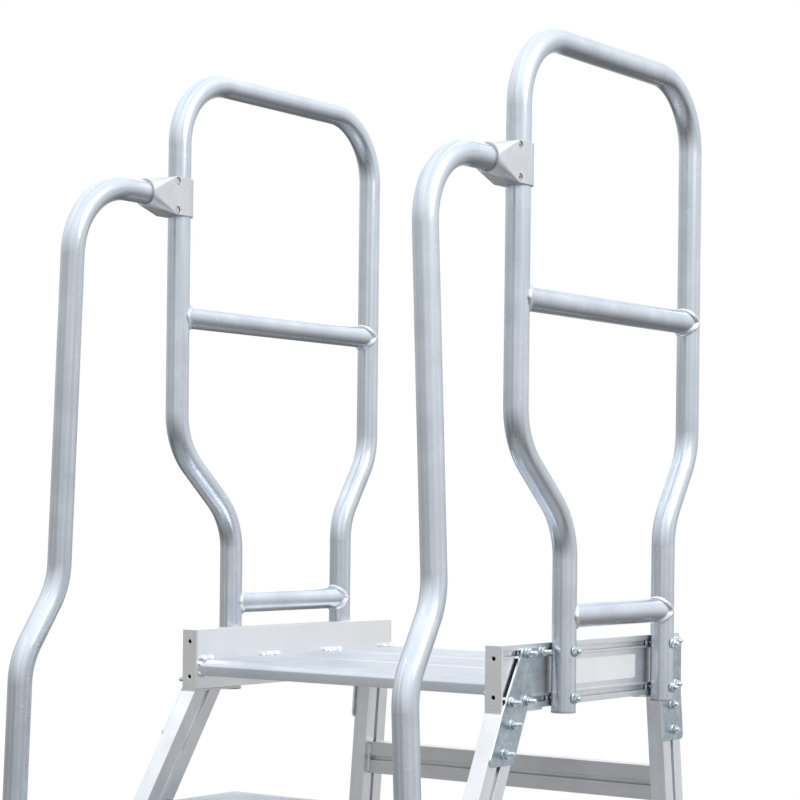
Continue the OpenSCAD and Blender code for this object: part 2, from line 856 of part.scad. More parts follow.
module clamp_screw() {
    pin_x(clamp_screw_r, -clamp_grip - clamp_screw_head_t, clamp_grip + cut);
    difference() {
        pin_x(clamp_screw_head_r, clamp_grip, clamp_grip + clamp_screw_head_t);
        translate([clamp_grip + clamp_socket_floor, 0, 0]) rotate([0, 90, 0])
            cylinder(r = clamp_screw_head_r / 2, h = clamp_screw_head_t, $fn = 6);
    }
    difference() {
        translate([-clamp_grip - clamp_screw_head_t, 0, 0]) rotate([0, 90, 0])
            cylinder(r = clamp_screw_head_r, h = clamp_screw_head_t, $fn = 6);
        pin_x(clamp_screw_r + cope_gap, -2 * clamp_half, 0);
    }
}

module clamp_outer_halves() {
    color("darkgray") stand() both_sides() on_clamp() clamp_half_body();
}

module clamp_inner_halves() {
    color("darkgray") stand() both_sides() on_clamp() mirror([1, 0, 0]) clamp_half_body();
}

module clamp_screws() {
    color("dimgray") stand() both_sides() on_clamp() for (s = [-1, 1])
        translate([0, -clamp_screw_y, s * clamp_screw_z]) clamp_screw();
}

// A bracket holds the foot of the grab rail off the stile's outer face
module grab_bracket() {
    mid_y = stile_at(bracket_z);
    face = face_x(bracket_z);
    difference() {
        union() {
            on_stile(bracket_down()) translate([0, -bracket_foot_w / 2, -bracket_foot_len / 2])
                cube([bracket_foot_t, bracket_foot_w, bracket_foot_len]);
            translate([0, mid_y, bracket_z]) pin_x(stem_r, face + bracket_foot_t / 2, bracket_x);
            on_grab() translate([0, -grab_out, -grab_down - ring_h / 2])
                cylinder(r = tube_r + ring_wall, h = ring_h);
        }
        on_grab() translate([0, -grab_out, -grab_down - ring_h])
            cylinder(r = tube_r + cope_gap, h = 2 * ring_h);
        for (s = [-1, 1])
            on_stile(bracket_down() + s * bracket_bolt)
                pin_x(hole_r, -cut, bracket_foot_t + cut);
    }
}

module grab_brackets() { color("darkgray") stand() both_sides() grab_bracket(); }

// Plug in an open tube end that faces -Z
module tube_plug() {
    translate([0, 0, -plug_t]) cylinder(r = tube_r, h = plug_t);
    cylinder(r = tube_r - tube_wall - fit_gap, h = plug_in);
}

module tube_plugs() {
    color("dimgray") stand() both_sides() {
        for (y = [-front_foot, rear_foot]) translate([guard_x, y, foot_bottom]) tube_plug();
        on_grab() translate([0, -grab_out, -grab_down - grab_tail]) tube_plug();
    }
}

module blank_label() {
    color("white") stand()
        translate([beam_face - web_recess, -front_foot + tube_r, web_z - label_h / 2])
            cube([label_t, label_len, label_h]);
}

// Base

module crossbar(y) {
    difference() {
        translate([-bar_len / 2, y - bar_w / 2, castor_h]) box_tube([bar_len, bar_w, bar_h], 0);
        for (s = [-1, 1]) translate([s * castor_x, y, 0]) at_plate_bolts()
            cylinder(r = hole_r, h = castor_t + wall + cut);
    }
}

// Places of a castor's bolts, at the lower face of its plate
module at_plate_bolts() {
    for (x = [-1, 1], y = [-1, 1])
        translate([x * plate_bolt[0], y * plate_bolt[1], plate_under]) children();
}

module crossbar_front() { color("silver") stand() crossbar(front_bar_y); }
module crossbar_rear() { color("silver") stand() crossbar(rear_bar_y); }

module crossbar_caps() {
    color("dimgray") stand() both_sides() for (y = [front_bar_y, rear_bar_y]) {
        translate([bar_len / 2, y - bar_w / 2, castor_h]) cube([bar_cap_t, bar_w, bar_h]);
        translate([bar_len / 2 - cap_in, y - bar_w / 2 + wall + fit_gap,
                castor_h + wall + fit_gap])
            cube([cap_in + cut, bar_w - 2 * (wall + fit_gap), bar_h - 2 * (wall + fit_gap)]);
    }
}

module base_rail() {
    start = front_bar_y + bar_w / 2;
    translate([base_rail_x - base_rail_w / 2, start, castor_h])
        box_tube([base_rail_w, rear_bar_y - bar_w / 2 - start, bar_h], 1);
}

module base_rail_left() { color("silver") stand() left() base_rail(); }
module base_rail_right() { color("silver") stand() base_rail(); }

// Castors: a fixed plate with its kingpin, and a fork that swings about it

module at_castor(side, y) {
    stand() translate([side * castor_x, y, 0]) children();
}

module at_castors() {
    for (side = [-1, 1], y = [front_bar_y, rear_bar_y]) at_castor(side, y) children();
}

module castor_plate() {
    disc_bottom = fork_top - fork_disc_t - fit_gap;
    difference() {
        union() {
            translate([-castor_plate_len / 2, -bar_w / 2, plate_under])
                cube([castor_plate_len, bar_w, castor_t]);
            translate([0, 0, plate_under - cup_h]) cylinder(r = cup_r, h = cup_h + cut);
            translate([0, 0, disc_bottom]) cylinder(d = kingpin_d, h = castor_h - disc_bottom);
            translate([0, 0, disc_bottom - kingpin_head_t])
                cylinder(r = kingpin_head_r, h = kingpin_head_t);
        }
        at_plate_bolts() translate([0, 0, -cut]) cylinder(r = hole_r, h = castor_t + 2 * cut);
    }
}

module castor_plates() { color("lightgray") at_castors() castor_plate(); }

module castor_bolts() {
    color("gainsboro") at_castors() at_plate_bolts() {
        translate([0, 0, -plate_bolt_head_t])
            cylinder(d = nut_across_corners, h = plate_bolt_head_t, $fn = 6);
        translate([0, 0, -cut])
            cylinder(d = bolt_d, h = cut + castor_t + wall + nut_h + bolt_stub);
    }
}

// The fork's ears carry the wheel axle below and the brake pedal's pivot behind
module fork_ear() {
    polygon([[-ear_front, fork_top], [ear_back, fork_top], [pivot_y + pivot_lug, pivot_z + pivot_lug],
        [pivot_y + pivot_lug, pivot_z - pivot_lug], [trail + ear_r - ear_in, wheel_r],
        [trail - ear_r + ear_in, wheel_r], [-ear_front, fork_top - ear_front_h]]);
    translate([trail, wheel_r]) circle(ear_r);
}

module fork() {
    difference() {
        union() {
            translate([0, 0, fork_top - fork_disc_t])
                cylinder(r = fork_disc_r, h = fork_disc_t);
            for (x = [-fork_gap - castor_t, fork_gap]) along_x(x, x + castor_t) fork_ear();
        }
        translate([0, 0, fork_top - fork_disc_t - cut])
            cylinder(d = kingpin_d + 2 * fit_gap, h = fork_disc_t + 2 * cut);
        translate([0, trail, wheel_r])
            pin_x(axle_d / 2 + cope_gap, -fork_gap - castor_t - cut, fork_gap + castor_t + cut);
        translate([0, pivot_y, pivot_z])
            pin_x(pivot_d / 2 + fit_gap, -fork_gap - castor_t - cut, fork_gap + castor_t + cut);
    }
}

// The axle bolt shares the fork's node: a second, separate solid
module axle() {
    outside = fork_gap + castor_t + cope_gap;
    translate([0, trail, wheel_r]) {
        pin_x(axle_d / 2, -outside - cut, outside + cut);
        for (x = [-outside - axle_head_t, outside]) translate([x, 0, 0]) rotate([0, 90, 0])
            cylinder(r = axle_head_r, h = axle_head_t, $fn = 6);
    }
}

module castor_fork(side, y) {
    color("lightgray") at_castor(side, y) {
        fork();
        axle();
    }
}

// A body of revolution about the wheel's axis, drawn as radius and width
module wheel_turned() {
    translate([0, trail, wheel_r]) rotate([0, 90, 0]) rotate_extrude() children();
}

module wheel_core(side, y) {
    rim_r = wheel_r - tyre_t;
    bore_r = axle_d / 2 + fit_gap;
    color("gray") at_castor(side, y) wheel_turned() {
        translate([bore_r, -hub_w / 2]) square([hub_wall, hub_w]);
        translate([bore_r + hub_wall - cut, -wheel_web_t / 2])
            square([rim_r - bore_r - hub_wall, wheel_web_t]);
        translate([rim_r - rim_t, cut - tyre_w / 2]) square([rim_t, tyre_w - 2 * cut]);
    }
}

module tyre(side, y) {
    inside = wheel_r - tyre_t + cope_gap;
    color("dimgray") at_castor(side, y) wheel_turned() {
        translate([inside, -tyre_w / 2]) square([tyre_t - cope_gap - tyre_shoulder, tyre_w]);
        translate([inside, tyre_shoulder - tyre_w / 2])
            square([tyre_t - cope_gap, tyre_w - 2 * tyre_shoulder]);
        for (s = [-1, 1]) translate([wheel_r - tyre_shoulder, s * (tyre_w / 2 - tyre_shoulder)])
            circle(tyre_shoulder);
    }
}

// A pedal turns about its pin. The shoe under its plate is hollowed to the tyre,
// which it meets at the end of the travel.
module brake_pedal(side, y) {
    outside = fork_gap + castor_t + cut;
    color("firebrick") at_castor(side, y) translate([0, pivot_y, pivot_z]) {
        pin_x(pivot_d / 2, -outside, outside);
        pin_x(pivot_hub_r, -pedal_w / 2, pedal_w / 2);
        translate([-pedal_w / 2, 0, 0]) cube([pedal_w, pedal_plate_end, pedal_t]);
        along_x(-pad_w / 2, pad_w / 2)
            polygon([[pedal_plate_end, pedal_t], [pedal_reach, pedal_t - pad_drop],
                [pedal_reach, -pad_drop], [pedal_plate_end, 0]]);
        difference() {
            translate([-shoe_w / 2, shoe_start, -shoe_deep])
                cube([shoe_w, pedal_plate_end - shoe_start, shoe_deep]);
            rotate([pedal_travel, 0, 0]) translate([0, trail - pivot_y, wheel_r - pivot_z])
                pin_x(wheel_r + fit_gap, -shoe_w, shoe_w);
        }
    }
}

module fork_front_left() { castor_fork(-1, front_bar_y); }
module fork_front_right() { castor_fork(1, front_bar_y); }
module fork_rear_left() { castor_fork(-1, rear_bar_y); }
module fork_rear_right() { castor_fork(1, rear_bar_y); }
module wheel_front_left() { wheel_core(-1, front_bar_y); }
module wheel_front_right() { wheel_core(1, front_bar_y); }
module wheel_rear_left() { wheel_core(-1, rear_bar_y); }
module wheel_rear_right() { wheel_core(1, rear_bar_y); }
module tyre_front_left() { tyre(-1, front_bar_y); }
module tyre_front_right() { tyre(1, front_bar_y); }
module tyre_rear_left() { tyre(-1, rear_bar_y); }
module tyre_rear_right() { tyre(1, rear_bar_y); }
module brake_pedal_front_left() { brake_pedal(-1, front_bar_y); }
module brake_pedal_front_right() { brake_pedal(1, front_bar_y); }
module brake_pedal_rear_left() { brake_pedal(-1, rear_bar_y); }
module brake_pedal_rear_right() { brake_pedal(1, rear_bar_y); }

side_beam_left();
side_beam_right();
beam_end_plates();
deck_plank_front();
deck_plank_middle();
deck_plank_rear();
leg_head_plates();
front_stile_left();
front_stile_right();
rear_leg_left();
rear_leg_right();
tread_1();
tread_2();
tread_3();
tread_4();
tread_5();
rear_brace_upper();
rear_brace_lower();
side_braces();
gusset_front_left();
gusset_front_right();
gusset_rear_left();
gusset_rear_right();
slot_bolts();
flange_nuts();
guard_hoop_left();
guard_hoop_right();
guard_mid_rails();
guard_lower_rails();
grab_rail_left();
grab_rail_right();
clamp_outer_halves();
clamp_inner_halves();
clamp_screws();
grab_brackets();
tube_plugs();
blank_label();
crossbar_front();
crossbar_rear();
crossbar_caps();
base_rail_left();
base_rail_right();
castor_plates();
castor_bolts();
fork_front_left();
wheel_front_left();
tyre_front_left();
brake_pedal_front_left();
fork_front_right();
wheel_front_right();
tyre_front_right();
brake_pedal_front_right();
fork_rear_left();
wheel_rear_left();
tyre_rear_left();
brake_pedal_rear_left();
fork_rear_right();
wheel_rear_right();
tyre_rear_right();
brake_pedal_rear_right();
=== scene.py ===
"""Looks of a rolling step ladder with a railed platform.

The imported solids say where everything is. This script takes those whose shape is
right, breaks their edges as the real pieces have them broken, and models the bent
tubes, the welds, the nuts and the castors' details anew. Lengths are metres and angles
degrees: X runs across the ladder, the climbing side faces -Y and the floor is at Z = 0.
"""

import json
import logging
from dataclasses import dataclass, field
from enum import Enum
from math import cos, pi, radians, sin, sqrt, tan
from typing import Iterable, Sequence

import bmesh
import bpy
from mathutils import Euler, Matrix, Vector, noise

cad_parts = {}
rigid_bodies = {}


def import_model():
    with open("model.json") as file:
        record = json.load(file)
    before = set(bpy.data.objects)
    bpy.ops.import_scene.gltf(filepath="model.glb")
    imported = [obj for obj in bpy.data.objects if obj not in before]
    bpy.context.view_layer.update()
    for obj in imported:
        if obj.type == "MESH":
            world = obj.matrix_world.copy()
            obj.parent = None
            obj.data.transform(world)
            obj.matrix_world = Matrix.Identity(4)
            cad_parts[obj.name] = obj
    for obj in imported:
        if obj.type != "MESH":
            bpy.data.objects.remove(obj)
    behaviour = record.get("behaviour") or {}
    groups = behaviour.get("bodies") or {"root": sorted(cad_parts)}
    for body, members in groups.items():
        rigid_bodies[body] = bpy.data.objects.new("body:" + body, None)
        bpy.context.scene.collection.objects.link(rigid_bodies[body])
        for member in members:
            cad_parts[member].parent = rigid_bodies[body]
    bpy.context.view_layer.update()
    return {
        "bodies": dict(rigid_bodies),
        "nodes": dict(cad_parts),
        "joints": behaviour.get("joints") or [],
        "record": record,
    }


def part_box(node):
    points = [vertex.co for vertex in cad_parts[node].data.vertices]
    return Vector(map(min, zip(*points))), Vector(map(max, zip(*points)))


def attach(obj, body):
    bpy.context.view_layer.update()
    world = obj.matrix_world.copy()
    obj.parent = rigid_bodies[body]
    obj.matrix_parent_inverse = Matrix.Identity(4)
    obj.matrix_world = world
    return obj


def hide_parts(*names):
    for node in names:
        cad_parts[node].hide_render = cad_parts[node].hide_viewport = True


Colour = tuple[float, float, float]
Edges = list[bmesh.types.BMEdge]
Socket = bpy.types.NodeSocket

# Rounded are edges sharper than the first angle, shaded sharp those past the second
BROKEN_FROM, SHARP_FROM = 32.0, 36.0
# A weld bead: sides of its section, length of a step, lumps to a metre, how much they
# swell it, how much every second step does, and its ends' share of its width
BEAD_SIDES, BEAD_STEP, LUMPS, SWELL, RIPPLE, BEAD_END = 8, 0.0022, 330, 0.2, 0.13, 0.45

log = logging.getLogger("ladder")


def place(x: float, y: float, z: float) -> Matrix:
    """Returns the move to a point."""
    return Matrix.Translation((x, y, z))


def turn(degrees: float, axis: str) -> Matrix:
    """Returns a turn about one of the axes through the origin."""
    return Matrix.Rotation(radians(degrees), 4, axis)


def facing_x(x: float = 0.0) -> Matrix:
    """Returns the frame at a place on the X axis whose own Z axis points along X."""
    return place(x, 0, 0) @ turn(90, "Y")


def onward(x: float, across: float = 1.0) -> Matrix:
    """Returns a move along X that scales what it moves square to X."""
    return place(x, 0, 0) @ Matrix.Diagonal((1, across, across, 1))


def new_object(name: str, data: bpy.types.ID) -> bpy.types.Object:
    """Puts a new object into the scene.

    Args:
        name: its name.
        data: its mesh, camera or lamp.

    Returns:
        The object.
    """
    made = bpy.data.objects.new(name, data)
    bpy.context.scene.collection.objects.link(made)
    return made


MIRROR = Matrix.Scale(-1, 4, (1, 0, 0))


@dataclass(frozen=True)
class Sizes:
    """Main sizes of the ladder, as its solids have them."""

    deck_z: float = 1.440
    deck_half: float = 0.300
    beam_top: float = 1.492
    beam_bottom: float = 1.389
    beam_face: float = 0.332
    beam_len: float = 0.570
    slot_inset: float = 0.0136
    rake: float = 30.0
    splay: float = 4.0
    leg_d: float = 0.060
    leg_w: float = 0.030
    leg_inset: float = 0.005
    tread_h: float = 0.030
    gusset_t: float = 0.004
    tube_r: float = 0.020
    front_post: float = 0.284
    rear_post: float = 0.268
    front_foot: float = 0.134
    rear_foot: float = 0.187
    bar_bottom: float = 0.155
    bar_top: float = 0.195

    @property
    def middle_y(self) -> float:
        """The platform's middle, which the solids place."""
        low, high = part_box("side_beam_right")
        return (low.y + high.y) / 2

    @property
    def guard_x(self) -> float:
        """Axis of the guard tubes."""
        return self.beam_face + self.tube_r

    @property
    def stile_half(self) -> float:
        """Half a stile's depth, measured level."""
        return self.leg_d / 2 / cos(radians(self.rake))

    @property
    def stile_y(self) -> float:
        """Middle of a stile's head, from the platform's middle."""
        return self.stile_half - self.beam_len / 2

    @property
    def leg_y(self) -> float:
        """Middle of a rear leg, from the platform's middle."""
        return self.beam_len / 2 - self.leg_inset - self.leg_d / 2

    @property
    def rake_run(self) -> float:
        """How far a stile runs forward for each metre down."""
        return tan(radians(self.rake)) / cos(radians(self.splay))

    def stile_at(self, z: float) -> float:
        """Returns a stile's middle at a height, from the platform's middle."""
        return self.stile_y - self.rake_run * (self.beam_bottom - z)

    def face_x(self, z: float) -> float:
        """Returns the legs' outer face at a height."""
        return self.beam_face + (self.beam_bottom - z) * tan(radians(self.splay))

    def inner_x(self, z: float) -> float:
        """Returns the legs' inner face at a height."""
        return self.face_x(z) - self.leg_w / cos(radians(self.splay))

    def on_leg(self, y: float) -> Matrix:
        """Returns the frame of a right-hand leg, X = 0 being its outer face."""
        return place(self.beam_face, y, self.beam_bottom) @ turn(-self.splay, "Y")

    def on_stile(self, down: float) -> Matrix:
        """Returns the frame of the right-hand stile at a distance down from its head."""
        return self.on_leg(self.stile_y) @ turn(-self.rake, "X") @ place(0, 0, -down)


class Run(Enum):
    """The way a piece was drawn or extruded: the turns that lay it along Z."""

    UPRIGHT = (0.0, 0.0)
    ACROSS = (0.0, -90.0)
    LENGTHWISE = (90.0, 0.0)
    STILE_RIGHT = (30.0, 4.0)
    STILE_LEFT = (30.0, -4.0)
    LEG_RIGHT = (0.0, 4.0)
    LEG_LEFT = (0.0, -4.0)

    def euler(self) -> Euler:
        """Returns the turn for a mapping node."""
        about_x, about_y = self.value
        return (turn(about_x, "X") @ turn(about_y, "Y")).to_euler()


class Tree:
    """A node tree with short calls for adding and joining its nodes."""

    def __init__(self, tree: bpy.types.NodeTree) -> None:
        """Takes the tree to work on."""
        self.tree = tree

    def add(self, kind: str, inputs: dict | None = None, **settings: object) -> bpy.types.Node:
        """Adds a node.

        Args:
            kind: the node's type without its prefix.
            inputs: what its inputs are fed with, by their names or places.
            settings: values of the node's own settings.

        Returns:
            The new node.
        """
        node = self.tree.nodes.new("ShaderNode" + kind)
        for name, value in settings.items():
            setattr(node, name, value)
        for key, value in (inputs or {}).items():
            self.feed(node.inputs[key], value)
        return node

    def feed(self, socket: Socket, value: object) -> None:
        """Joins an output to a socket, or sets the socket to a plain value.

        Args:
            socket: the input.
            value: the output, number, vector or colour.
        """
        if isinstance(value, Socket):
            self.tree.links.new(value, socket)
        else:
            socket.default_value = (*value, 1) if socket.type == "RGBA" else value

    def math(self, operation: str, *values: object) -> Socket:
        """Returns the result of a sum on numbers."""
        return self.add("Math", dict(enumerate(values)), operation=operation).outputs[0]

    def weighed(self, share: object, first: Socket, second: Socket) -> Socket:
        """Returns a share of the first number and the rest of the second."""
        rest = self.math("SUBTRACT", 1.0, share) if isinstance(share, Socket) else 1.0 - share
        return self.math("MULTIPLY_ADD", first, share, self.math("MULTIPLY", second, rest))

    def scaled(self, vector: Socket, by: Sequence[float]) -> Socket:
        """Returns a vector multiplied axis by axis."""
        return self.add("VectorMath", {0: vector, 1: by}, operation="MULTIPLY").outputs[0]

    def noise(self, vector: Socket, scale: object, detail: float = 2.0) -> Socket:
        """Returns soft noise between 0 and 1."""
        inputs = {"Vector": vector, "Scale": scale, "Detail": detail, "Roughness": 0.6}
        return self.add("TexNoise", inputs).outputs["Fac"]

    def cells(self, vector: Socket, scale: object) -> tuple[Socket, Sequence[Socket]]:
        """Splits space into cells.

        Args:
            vector: the place.
            scale: cells to a metre.

        Returns:
            The distance from the cell's middle, and three chance numbers of the cell.
        """
        node = self.add("TexVoronoi", {"Vector": vector, "Scale": scale}, feature="F1")
        chance = self.add("SeparateColor", {0: node.outputs["Color"]})
        return node.outputs["Distance"], chance.outputs

    def span(self, value: Socket, low: object, high: object,
             to_low: float = 0.0, to_high: float = 1.0) -> Socket:
        """Returns a value taken from one span to another, and held inside it."""
        return self.add("MapRange", {"Value": value, "From Min": low, "From Max": high,
                                     "To Min": to_low, "To Max": to_high}).outputs["Result"]

    def blend(self, share: object, first: object, second: object) -> Socket:
        """Returns the first colour blended towards the second."""
        # The node has its colours in inputs 6 and 7, and gives them out in output 2
        return self.add("Mix", {0: share, 6: first, 7: second}, data_type="RGBA").outputs[2]

    def effect(self, name: str, where: Socket, **numbers: float) -> Socket:
        """Returns the mask of a shared effect, with a finish's own numbers."""
        group, inputs = bpy.data.node_groups[name], {"Vector": where, **numbers}
        return self.add("Group", inputs, node_tree=group).outputs["Mask"]

    def attribute(self, name: str) -> bpy.types.NodeOutputs:
        """Returns the outputs of a value that the piece's corners carry."""
        return self.add("Attribute", attribute_name=name).outputs

    def relief(self, shader: bpy.types.Node, height: Socket, depth: float) -> None:
        """Gives a shader a relief of some depth."""
        bump = self.add("Bump", {"Distance": depth, "Height": height})
        self.feed(shader.inputs["Normal"], bump.outputs["Normal"])


def new_material(name: str) -> tuple[bpy.types.Material, Tree, bpy.types.Node]:
    """Starts a material.

    Args:
        name: its name.

    Returns:
        The material, its tree and its shader.
    """
    made = bpy.data.materials.new(name)
    made.use_nodes = True
    return made, Tree(made.node_tree), made.node_tree.nodes["Principled BSDF"]


class Effects:
    """Surface effects that several finishes share, each made once as a node group."""

    def build(self) -> None:
        """Builds the groups."""
        self.lines()
        self.specks()
        self.scratches()
        self.spangle()

    @staticmethod
    def start(name: str, **numbers: float) -> tuple[Tree, bpy.types.NodeOutputs, Socket]:
        """Starts a group.

        Args:
            name: the group's name.
            numbers: its number inputs with their usual values.

        Returns:
            The tree, the inputs by their names, and the socket of its mask.
        """
        group = bpy.data.node_groups.new(name, "ShaderNodeTree")
        group.interface.new_socket("Vector", in_out="INPUT", socket_type="NodeSocketVector")
        for key, value in numbers.items():
            socket = group.interface.new_socket(key, in_out="INPUT", socket_type="NodeSocketFloat")
            socket.default_value = value
        group.interface.new_socket("Mask", in_out="OUTPUT", socket_type="NodeSocketFloat")
        given = group.nodes.new("NodeGroupInput").outputs
        return Tree(group), given, group.nodes.new("NodeGroupOutput").inputs["Mask"]

    def lines(self) -> None:
        """Builds the fine lines of drawn metal, on a vector stretched along them."""
        tree, given, mask = self.start("drawn_lines", Contrast=0.5)
        fine = tree.noise(given["Vector"], 1.0, 5.0)
        broad = tree.noise(given["Vector"], 0.22, 2.0)
        edge = tree.math("MULTIPLY", tree.math("SUBTRACT", 1.0, given["Contrast"]), 0.4)
        low, high = tree.math("SUBTRACT", 0.48, edge), tree.math("ADD", 0.52, edge)
        tree.feed(mask, tree.span(tree.weighed(0.5, broad, fine), low, high))

    def specks(self) -> None:
        """Builds small round specks, in a share of the pattern's cells."""
        tree, given, mask = self.start("specks", Scale=120.0, Size=0.16, Share=0.1)
        distance, chance = tree.cells(given["Vector"], given["Scale"])
        dot = tree.span(distance, 0.0, given["Size"], 1.0, 0.0)
        chosen = tree.math("LESS_THAN", chance[0], given["Share"])
        tree.feed(mask, tree.math("MULTIPLY", dot, chosen))

    def scratches(self) -> None:
        """Builds thin, broken scratches that wander."""
        tree, given, mask = self.start("scratches", Scale=20.0, Share=0.4)
        vector, scale = given["Vector"], given["Scale"]
        wander = tree.noise(tree.scaled(vector, (1.0, 0.35, 0.5)), scale, 1.0)
        away = tree.math("ABSOLUTE", tree.math("SUBTRACT", wander, 0.5))
        thin = tree.span(away, 0.0, 0.004, 1.0, 0.0)
        gaps = tree.noise(vector, tree.math("MULTIPLY", scale, 1.7), 2.0)
        edge = tree.math("SUBTRACT", 0.75, tree.math("MULTIPLY", given["Share"], 0.4))
        broken = tree.span(gaps, edge, tree.math("ADD", edge, 0.05))
        tree.feed(mask, tree.math("MULTIPLY", thin, broken))

    def spangle(self) -> None:
        """Builds the cloudy flakes of a zinc coat."""
        tree, given, mask = self.start("spangle", Scale=160.0)
        vector, scale = given["Vector"], given["Scale"]
        _, chance = tree.cells(vector, scale)
        cloud = tree.noise(vector, tree.math("MULTIPLY", scale, 0.4), 5.0)
        tree.feed(mask, tree.weighed(0.35, chance[1], tree.span(cloud, 0.3, 0.7)))


@dataclass(frozen=True)
class Finish:
    """A surface with a colour and the shade that it takes in places."""

    name: str
    colour: Colour
    shade: Colour
    slot: str = field(default="", kw_only=True)

    def material(self, run: Run) -> bpy.types.Material:
        """Finds the finish's material.

        Args:
            run: the way the piece was drawn.

        Returns:
            The material, made once for each way that shows.
        """
        label = f"{self.name}_{self.ending(run)}"
        made = bpy.data.materials.get(label)
        if not made:
            made, tree, shader = new_material(label)
            self.dress(tree, shader, run)
        return made

    def ending(self, run: Run) -> str:
        """Returns the end of a material's name, one for each way that shows."""
        return "worn"

    def dress(self, tree: Tree, shader: bpy.types.Node, run: Run) -> None:
        """Builds the finish in a material's tree, which each kind does in its own way."""
        raise NotImplementedError


@dataclass(frozen=True)
class Metal(Finish):
    """A bare or plated metal: drawn lines, cloudy patches, specks and scratches."""

    rough: tuple[float, float] = (0.30, 0.44)
    # Lines to a metre across the grain and along it
    grain: tuple[float, float] = (420.0, 7.0)
    contrast: float = 0.3
    line_share: float = 0.5
    line_depth: float = 0.00004
    patch_scale: float = 9.0
    spangle: float = 0.0
    speck_share: float = 0.0
    scratch_share: float = 0.35
    on_tube: bool = False
    # Near-white colour painted on faces that turn away from X: a painted highlight on a plate's
    # edges
    edge_highlight: Colour | None = None
    # How strong and what colour scratches and specks are, and how smooth a scratch is
    scratch_tint: tuple[float, Colour] = (0.5, (0.93, 0.95, 0.97))
    speck_tint: tuple[float, Colour] = (0.7, (0.16, 0.16, 0.17))
    scratch_gloss: float = 0.12
    # Streaks to a metre on a bent tube, and their share of the tone in a bend
    streaks: tuple[float, float, float] = (170.0, 170.0, 5.0)
    streak_share: float = 0.75

    def ending(self, run: Run) -> str:
        """Returns the end of a material's name, one for each way that shows."""
        return "bent" if self.on_tube else run.name.lower()

    def dress(self, tree: Tree, shader: bpy.types.Node, run: Run) -> None:
        """Builds the finish in a material's tree.

        Args:
            tree: the material's tree.
            shader: its shader.
            run: the way the piece was drawn.
        """
        where = self.coordinates(tree, run)
        across, along = self.grain
        lines = tree.effect("drawn_lines", tree.scaled(where, (across, across, along)),
                            Contrast=self.contrast)
        patches = tree.span(tree.noise(where, self.patch_scale, 3.0), 0.32, 0.68)
        specks = tree.effect("specks", where, Share=self.speck_share)
        scratches = tree.effect("scratches", where, Share=self.scratch_share)
        tone = tree.weighed(self.line_share, lines, patches)
        if self.spangle:
            tone = tree.weighed(self.spangle, tree.effect("spangle", where), tone)
        if self.on_tube:
            tone = self.stretched(tree, where, tone)
        colour = tree.blend(tone, self.colour, self.shade)
        for mask, (share, tint) in ((scratches, self.scratch_tint), (specks, self.speck_tint)):
            colour = tree.blend(tree.math("MULTIPLY", mask, share), colour, tint)
        # Painted highlight on the edges that the rim value marks
        if self.edge_highlight:
            colour = tree.blend(tree.attribute("rim")["Fac"], colour, self.edge_highlight)
        tree.feed(shader.inputs["Base Color"], colour)
        rough = tree.span(tone, 0.0, 1.0, *self.rough)
        gloss = tree.math("MULTIPLY", scratches, self.scratch_gloss)
        tree.feed(shader.inputs["Roughness"], tree.math("SUBTRACT", rough, gloss))
        shader.inputs["Metallic"].default_value = 1.0
        hills = tree.math("ADD", lines, tree.math("MULTIPLY", patches, 2.0))
        height = tree.math("SUBTRACT", hills, tree.math("ADD", scratches, specks))
        tree.relief(shader, height, self.line_depth)

    def coordinates(self, tree: Tree, run: Run) -> Socket:
        """Finds the place on the piece.

        Args:
            tree: the material's tree.
            run: the way the piece was drawn.

        Returns:
            The place, turned so that Z runs along the piece.
        """
        if self.on_tube:
            return tree.attribute("straight")["Vector"]
        here = tree.add("TexCoord").outputs["Object"]
        mapping = tree.add("Mapping", {"Rotation": run.euler(), "Vector": here})
        return mapping.outputs["Vector"]

    def stretched(self, tree: Tree, where: Socket, tone: Socket) -> Socket:
        """Adds the long streaks that bending leaves in a tube.

        Args:
            tree: the material's tree.
            where: the place on the piece.
            tone: the tone without streaks.

        Returns:
            The tone with streaks.
        """
        streaks = tree.span(tree.noise(tree.scaled(where, self.streaks), 1.0, 3.0), 0.35, 0.65)
        share = tree.math("MULTIPLY", tree.attribute("bend")["Fac"], self.streak_share)
        return tree.weighed(share, streaks, tone)


@dataclass(frozen=True)
class Moulded(Finish):
    """Plastic, rubber, paint or film: a fine grain, a worn shade and a little dust."""

    rough: tuple[float, float] = (0.45, 0.6)
    grain_scale: float = 900.0
    grain_depth: float = 0.00005
    patch_scale: float = 14.0
    scratch_scale: float = 34.0
    scratch_strength: float = 0.35
    coat: float = 0.0
    coat_rough: float = 0.15
    dust: float = 0.15
    dust_tint: Colour = (0.55, 0.54, 0.52)

    def dress(self, tree: Tree, shader: bpy.types.Node, run: Run) -> None:
        """Builds the finish in a material's tree.

        Args:
            tree: the material's tree.
            shader: its shader.
            run: unused by a finish without a drawn grain.
        """
        where = tree.add("TexCoord").outputs["Object"]
        grain = tree.noise(where, self.grain_scale, 3.0)
        patches = tree.span(tree.noise(where, self.patch_scale, 4.0), 0.35, 0.7)
        scratches = tree.effect("scratches", where, Scale=self.scratch_scale)
        dusty = tree.math("MULTIPLY", tree.math("MULTIPLY", patches, grain), self.dust)
        scuffed = tree.math("MULTIPLY", scratches, self.scratch_strength)
        colour = tree.blend(patches, self.colour, self.shade)
        for mask, tint in ((dusty, self.dust_tint), (scuffed, self.shade)):
            colour = tree.blend(mask, colour, tint)
        tree.feed(shader.inputs["Base Color"], colour)
        rough = tree.span(tree.weighed(0.5, patches, grain), 0.2, 0.8, *self.rough)
        tree.feed(shader.inputs["Roughness"], rough)
        shader.inputs["Coat Weight"].default_value = self.coat
        shader.inputs["Coat Roughness"].default_value = self.coat_rough
        tree.relief(shader, tree.math("SUBTRACT", grain, scratches), self.grain_depth)


